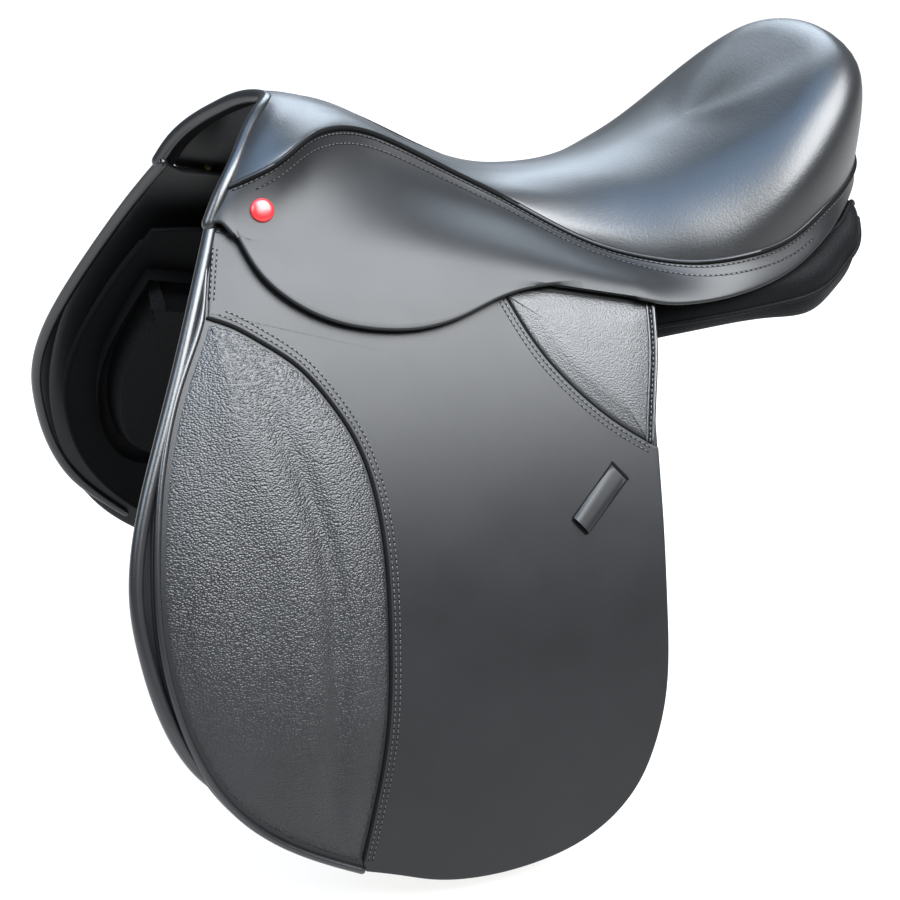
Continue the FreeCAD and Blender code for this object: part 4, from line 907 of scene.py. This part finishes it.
class SaddleLook(bpy.types.PropertyGroup):
    """Colours and grain of the leather."""

    leather_colour: bpy.props.FloatVectorProperty(
        name="Leather", description="Black leather's own colour", subtype="COLOR",
        default=(0.0065, 0.0068, 0.0075))
    stud_colour: bpy.props.FloatVectorProperty(
        name="Stud", description="Enamel of the skirt studs", subtype="COLOR",
        default=(0.4, 0.012, 0.014))
    grain_scale: bpy.props.FloatProperty(
        name="Pebble grain", description="Pebbles per metre on the knee rolls", default=780.0)


class SaddleSewing(bpy.types.PropertyGroup):
    """Piping, welts and stitches, in metres."""

    roll: bpy.props.FloatProperty(
        name="Front roll", description="Thickness of the roll along the flap's front", default=0.0092,
        unit="LENGTH", subtype="DISTANCE")
    piping: bpy.props.FloatProperty(
        name="Piping", description="Thickness of the piping on the flap's edge", default=0.0048,
        unit="LENGTH", subtype="DISTANCE")
    welt: bpy.props.FloatProperty(
        name="Welt", description="Thickness of the welt in the seat's seam", default=0.0036,
        unit="LENGTH", subtype="DISTANCE")
    stitch: bpy.props.FloatProperty(
        name="Stitch", description="From one stitch to the next", default=0.0036,
        unit="LENGTH", subtype="DISTANCE")


class SaddleStudio(bpy.types.PropertyGroup):
    """Lights and the floor."""

    key_power: bpy.props.FloatProperty(
        name="Key light", description="Large soft light over the near side", default=275.0, unit="POWER")
    fill_power: bpy.props.FloatProperty(
        name="Back light", description="Bluish soft light from the far side", default=32.0, unit="POWER")
    top_power: bpy.props.FloatProperty(
        name="Top light", description="Large soft light overhead", default=36.0, unit="POWER")
    front_power: bpy.props.FloatProperty(
        name="Front light", description="Bluish window light on the pommel", default=50.0, unit="POWER")
    floor_glow: bpy.props.FloatProperty(
        name="Floor glow", description="Evens out the pale floor", default=0.86)
    sky: bpy.props.FloatProperty(
        name="Sky", description="Strength of the pale blue surroundings", default=0.3)


def settings():
    """The scene's three groups of settings: look, sewing and studio."""
    scene = bpy.context.scene
    return scene.saddle_look, scene.saddle_sewing, scene.saddle_studio


# ---------------------------------------------------------------- operators

class SADDLE_OT_seat(bpy.types.Operator):
    """Seat cover with its welt, and the piping round the pommel"""

    bl_idname = "saddle.seat"
    bl_label = "Seat"

    def execute(self, context):
        sewing = settings()[1]
        face = seat_face()
        out = normals_of(face)
        out = out * np.sign(out[..., 2].sum())
        back = face - out * SEAT_THICK
        piece("seat", two_faced(face, back), MATERIALS["seat"], "saddle", weld=0.05,
              crease=60, replaces=("seat_cover", "seat_foam"))
        arch_back, arch_out = back[:48], out[:48]
        piece("seat_underlining", two_faced(arch_back - arch_out * 0.2, arch_back - arch_out),
              MATERIALS["lining"], "saddle", weld=0.05, crease=60)

        seam = curve(SEAT[:, 5], 200)
        lift = np.array([0.25, 0, 0.15])
        whole = np.concatenate([seam, (seam * [1, -1, 1])[-2::-1]]) + lift
        welt = sewing.welt / MM
        up = (0.01, 0.02, 1)
        piece("seat_welt_cord", [tube(whole, welt / 2, up=up)], MATERIALS["smooth"], "saddle",
              replaces=("seat_welt",))
        # A near-black rod sunk just under the welt: painted shadow along both sides of the seat's seam.
        groove = tube(whole - lift * 1.4, welt * 0.55, up=up)
        piece("seat_seam_shadow", [groove], MATERIALS["hole"], "saddle")

        arch = curve([(x, -y, z) for x, y, z in ARCH[::-1]] + ARCH[1:], 120)
        roll = tube(arch, sewing.roll / MM / 2, sides=16, up=(0.7, 0, 0.7))
        piece("pommel_roll", [roll], MATERIALS["piping"], "saddle",
              replaces=("pommel_piping",))
        side_arch = curve(ARCH[1:], 60)
        inner, outer = side_arch - (10.0, 0.5, 4.0), side_arch - (1.0, 0, 0.5)
        facing = outer + (inner - outer) * np.linspace(0, 1, 5)[:, None, None]
        lining = sheet_of(facing, 1.2, (1, 0.2, 0))
        for name, side in SIDES.items():
            piece(f"pommel_facing_{name}", [lining], MATERIALS["lining"], "saddle", side)
        return {"FINISHED"}


class SADDLE_OT_skirts(bpy.types.Operator):
    """Fixed skirts, their lifting lobes and the studs"""

    bl_idname = "saddle.skirts"
    bl_label = "Skirts"

    def execute(self, context):
        grid, on_fold = skirt_face()
        lobe = lobe_face()
        for name, side in SIDES.items():
            top = sheet_of(grid, SKIRT_THICK, (0, 1, 0.5), soft=np.where(on_fold, 0.0, 1.0))
            piece(f"skirt_upper_{name}", [top], MATERIALS["smooth"], "saddle", side,
                  (f"skirt_top_{name}",))
            low = sheet_of(lobe, SKIRT_THICK, (0, 1, 0.5), normals=barrel_out(lobe[..., 2]))
            piece(f"skirt_lobe_{name}", [low], MATERIALS["smooth"], f"{name}_skirt", side,
                  (f"skirt_{name}",))
        stud = stud_dome(grid)
        for name, side in SIDES.items():
            piece(f"stud_dome_{name}", [stud], MATERIALS["enamel"], "saddle", side,
                  (f"skirt_stud_{name}",))
        return {"FINISHED"}


class SADDLE_OT_flaps(bpy.types.Operator):
    """Flaps with their rolled fronts, edge piping, knee rolls, thigh patches and keeper loops"""

    bl_idname = "saddle.flaps"
    bl_label = "Flaps"

    def execute(self, context):
        sewing = settings()[1]
        roll_thick, piping = sewing.roll / MM, sewing.piping / MM
        edge = flap_edge()
        bottom = curve([tuple(edge[-1]), (150, -307), *FLAP_BOTTOM[3:]], 150)
        knee, patch, hem = curve(KNEE_SEAM, 110), curve(PATCH_SEAM, 60), curve(PATCH_HEM, 40)
        rim = curve(PIPED_EDGE, 180)
        roll_line = moved(curve(ROLL_FRONT, 130), -roll_thick / 2)

        flap = [flap_sheet(edge, bottom), flap_overlay(bottom, knee, patch), roll_groove(roll_line, rim)]
        rolls = [front_roll(roll_line, roll_thick), edge_piping(rim, piping)]
        pad = knee_pad(rim, knee, piping)
        cushion = thigh_cushion(patch, hem)
        binding = [cord(hem + (0.6, 0), 0.5, 1.5), cord(hem + (5.2, 0), 0.9, 0.9)]
        strap, slots = keeper()
        for name, side in SIDES.items():
            body = f"{name}_flap"
            piece(f"keeper_shade_rods_{name}", slots, MATERIALS["hole"], body, side)
            piece(f"flap_leather_{name}", flap, MATERIALS["smooth"], body, side,
                  (f"flap_{name}",))
            piece(f"flap_roll_{name}", rolls, MATERIALS["piping"], body, side,
                  (f"flap_piping_{name}",))
            piece(f"knee_roll_pad_{name}", [pad], MATERIALS["grained"], body, side,
                  (f"knee_roll_{name}",))
            piece(f"thigh_patch_leather_{name}", [cushion], MATERIALS["patch"], body, side,
                  (f"thigh_patch_{name}",))
            piece(f"thigh_patch_binding_{name}", binding, MATERIALS["piping"], body, side)
            piece(f"keeper_strap_{name}", [strap], MATERIALS["smooth"], body, side,
                  (f"keeper_loop_{name}",))
        return {"FINISHED"}


class SADDLE_OT_panels(bpy.types.Operator):
    """Panels, gussets, sweat flaps and knee blocks"""

    bl_idname = "saddle.panels"
    bl_label = "Panels"

    def execute(self, context):
        grid = panel_surface()
        bag = (grid.reshape(-1, 3), quads(*grid.shape[:2], wrap_cols=True))
        leg = panel_leg()
        gusset, cords = panel_gusset(grid)
        sweat = sweat_flap()
        block = knee_block()
        for name, side in SIDES.items():
            piece(f"panel_bag_{name}", [bag, leg], MATERIALS["panel"], "saddle", side,
                  (f"panel_{name}",))
            piece(f"panel_gusset_leather_{name}", [gusset], MATERIALS["panel"], "saddle", side,
                  (f"panel_gusset_{name}",))
            piece(f"panel_cord_{name}", cords, MATERIALS["panel"], "saddle", side,
                  ("panel_welt",) if name == "near" else ())
            piece(f"sweat_flap_leather_{name}", sweat, MATERIALS["lining"], "saddle", side,
                  (f"sweat_flap_{name}",))
            piece(f"knee_block_pad_{name}", [block], MATERIALS["lining"], "saddle", side,
                  (f"knee_block_{name}",))
        return {"FINISHED"}


class SADDLE_OT_stitching(bpy.types.Operator):
    """Rows of stitches on the skirts and flaps"""

    bl_idname = "saddle.stitching"
    bl_label = "Stitching"

    def execute(self, context):
        pitch = settings()[1].stitch / MM
        grid, _ = skirt_face()
        out = normals_of(grid)
        out = out * np.sign(np.sum(out * (0, 1, 0.5)))
        span = np.linalg.norm(grid[-1] - grid[0], axis=1)
        rows = np.linspace(0, 1, grid.shape[0])

        def below_seam(distance, start, stop):
            """A line on the skirt at a distance below the seat's seam, and the face's outward direction."""
            share = distance / span
            path = np.array([[np.interp(share[i], rows, grid[:, i, k]) for k in range(3)]
                             for i in range(start, stop)])
            return path + out[3, start:stop] * 0.15, out[3, start:stop]

        skirt_rows = (below_seam(3.6, 3, 150), below_seam(10.5, 8, 128))
        knee, patch, edge = curve(KNEE_SEAM, 110), curve(PATCH_SEAM, 60), curve(PIPED_EDGE, 120)
        hem = curve([*PATCH_HEM[:-1], (-57, 24)], 40)
        on_face = OVERLAY_FACE + 0.12
        flap_rows = [(moved(knee[2:-1], -2.6), on_face), (moved(knee[3:-1], -5.6), on_face),
                     (moved(patch[1:-1], 2.6), on_face), (moved(patch[1:-1], 5.6), on_face),
                     (moved(edge[3:11], -3.2), on_face), (moved(edge[3:11], -5.8), on_face),
                     (hem + (3.0, 0), 1.5)]
        skirt_sewn = [stitches(path, lift, pitch) for path, lift in skirt_rows]
        # Near-black rods sunk under the skirt's stitches: painted shade in their grooves.
        skirt_stitch_shade_rods = [tube(path - lift * 0.35, 0.8, sides=6, up=lift, flat=0.6) for path, lift in skirt_rows]
        flap_sewn = [stitches(on_barrel(run[:, 0], run[:, 1], depth), barrel_out(run[:, 1]), pitch)
                     for run, depth in flap_rows]
        # Near-black rods: painted shadow at the steps of the knee roll's and thigh patch's seams, and
        # painted shade under each stitch row.
        steps = (moved(knee[:-1], 0.5), moved(patch[1:-1], -0.3))
        flap_shade_rods = [cord(run, 0.75, 1.1, sides=8) for run in steps]
        flap_shade_rods += [cord(run, depth - 0.42, 0.8, sides=6, flat=0.6) for run, depth in flap_rows]
        hole, thread = MATERIALS["hole"], MATERIALS["thread"]
        for name, side in SIDES.items():
            flap = f"{name}_flap"
            piece(f"skirt_stitch_holes_{name}", skirt_stitch_shade_rods, hole, "saddle", side)
            piece(f"skirt_stitching_{name}", skirt_sewn, thread, "saddle", side, weld=0)
            piece(f"flap_stitch_holes_{name}", flap_shade_rods, hole, flap, side)
            piece(f"flap_stitching_{name}", flap_sewn, thread, flap, side, weld=0)
        return {"FINISHED"}


class SADDLE_OT_frame(bpy.types.Operator):
    """Finishes for the pieces that come whole from the frame; any not named here is lining leather"""

    bl_idname = "saddle.frame"
    bl_label = "Tree and fittings"

    def execute(self, context):
        finishes = {
            "tree_cantle": "wood", "tree_rail": "spring", "gullet_plate": "spring",
            "gullet_screws": "steel", "stirrup_bar": "steel", "bar_catch": "steel",
            "seat_webbing": "webbing", "girth_webbing": "webbing", "buckle_guard": "smooth",
            "dee_ring": "brass", "dee_staple": "brass", "skirt_stud": "enamel",
        }
        for name, node in frame["nodes"].items():
            look = next((finishes[start] for start in finishes if name.startswith(start)), "lining")
            node.data.materials.clear()
            node.data.materials.append(MATERIALS[look])
        return {"FINISHED"}


def stand(obj, side, up, back, place):
    """Puts an object into the scene at a place, with its own axes along side, up and back."""
    basis = np.eye(4)
    basis[:3] = np.stack([side, up, back, place], axis=1)
    obj.matrix_world = Matrix(basis.tolist())
    bpy.context.scene.collection.objects.link(obj)


class SADDLE_OT_stage(bpy.types.Operator):
    """Pale floor, soft lights and the camera"""

    bl_idname = "saddle.stage"
    bl_label = "Studio"

    def execute(self, context):
        studio = settings()[2]
        scene = context.scene
        world = bpy.data.worlds.new("white_room")
        scene.world = world
        world.use_nodes = True
        backdrop = world.node_tree.nodes["Background"]
        backdrop.inputs["Color"].default_value = (0.85, 0.92, 1.0, 1)
        backdrop.inputs["Strength"].default_value = studio.sky

        mesh = bpy.data.meshes.new("floor")
        reach, height = 6.0, -0.335
        corners = [(-reach, -reach, height), (reach, -reach, height), (reach, reach, height),
                   (-reach, reach, height)]
        mesh.from_pydata(corners, [], [(0, 1, 2, 3)])
        floor = bpy.data.objects.new("floor", mesh)
        scene.collection.objects.link(floor)
        pale, node = shader("pale_floor", (0.2, 0.2, 0.2), 0.9, specular=0.0)
        node.inputs["Emission Color"].default_value = (1, 0.99, 0.97, 1)
        node.inputs["Emission Strength"].default_value = studio.floor_glow
        mesh.materials.append(pale)

        def lamp(name, power, size, place, target, colour):
            """A square soft light that looks from its place at a target."""
            data = bpy.data.lights.new(name, "AREA")
            data.energy, data.size, data.color = power, size, colour
            obj = bpy.data.objects.new(name, data)
            way = np.array(place, float) - np.array(target, float)
            side = unit(np.cross((0, 0, 1), way))
            back = unit(way)
            stand(obj, side, np.cross(back, side), back, place)

        lamp("key", studio.key_power, 1.9, (-0.5, 1.15, 1.85), (0, 0, 0), (0.94, 0.97, 1.0))
        lamp("top", studio.top_power, 1.4, (0.45, -0.1, 2.0), (-0.1, 0, 0), (0.36, 0.62, 1.0))
        lamp("front", studio.front_power, 1.1, (1.7, 0.7, 1.5), (0.1, 0, 0.1), (0.75, 0.87, 1.0))
        lamp("back", studio.fill_power, 1.0, (-0.7, -1.6, 1.35), (-0.05, 0, 0.1), (0.75, 0.87, 1.0))

        data = bpy.data.cameras.new("camera")
        data.lens, data.sensor_width = 78.4, 36.0
        camera = bpy.data.objects.new("camera", data)
        turn, tip, roll = np.radians([20.0, 23.1, 1.8])
        ahead = -np.array([np.sin(turn) * np.cos(tip), np.cos(turn) * np.cos(tip), np.sin(tip)])
        level = np.array([-np.cos(turn), np.sin(turn), 0])
        top = np.cross(level, ahead)
        right = level * np.cos(roll) + top * np.sin(roll)
        up = top * np.cos(roll) - level * np.sin(roll)
        stand(camera, right, up, -ahead, (0.491, 1.250, 0.4455))
        scene.camera = camera
        scene.view_settings.view_transform = "Standard"
        return {"FINISHED"}


class SADDLE_PT_parts(bpy.types.Panel):
    """Buttons that make the saddle"""

    bl_label = "English Saddle"
    bl_idname = "SADDLE_PT_parts"
    bl_space_type = "VIEW_3D"
    bl_region_type = "UI"
    bl_category = "Saddle"

    def draw(self, context):
        for group in settings():
            column = self.layout.column(align=True)
            for name in group.__annotations__:
                column.prop(group, name)
        for operator in OPERATORS:
            self.layout.operator(operator.bl_idname)


GROUPS = (SaddleLook, SaddleSewing, SaddleStudio)
OPERATORS = (SADDLE_OT_frame, SADDLE_OT_seat, SADDLE_OT_skirts, SADDLE_OT_flaps, SADDLE_OT_panels,
             SADDLE_OT_stitching, SADDLE_OT_stage)


def register():
    for item in (*GROUPS, *OPERATORS, SADDLE_PT_parts):
        bpy.utils.register_class(item)
    bpy.types.Scene.saddle_look = bpy.props.PointerProperty(type=SaddleLook)
    bpy.types.Scene.saddle_sewing = bpy.props.PointerProperty(type=SaddleSewing)
    bpy.types.Scene.saddle_studio = bpy.props.PointerProperty(type=SaddleStudio)


def unregister():
    del bpy.types.Scene.saddle_look, bpy.types.Scene.saddle_sewing, bpy.types.Scene.saddle_studio
    for item in reversed((*GROUPS, *OPERATORS, SADDLE_PT_parts)):
        bpy.utils.unregister_class(item)


def main():
    register()
    make_materials(settings()[0])
    for operator in OPERATORS:
        getattr(bpy.ops.saddle, operator.bl_idname.split(".")[1])()


if __name__ == "__main__":
    main()
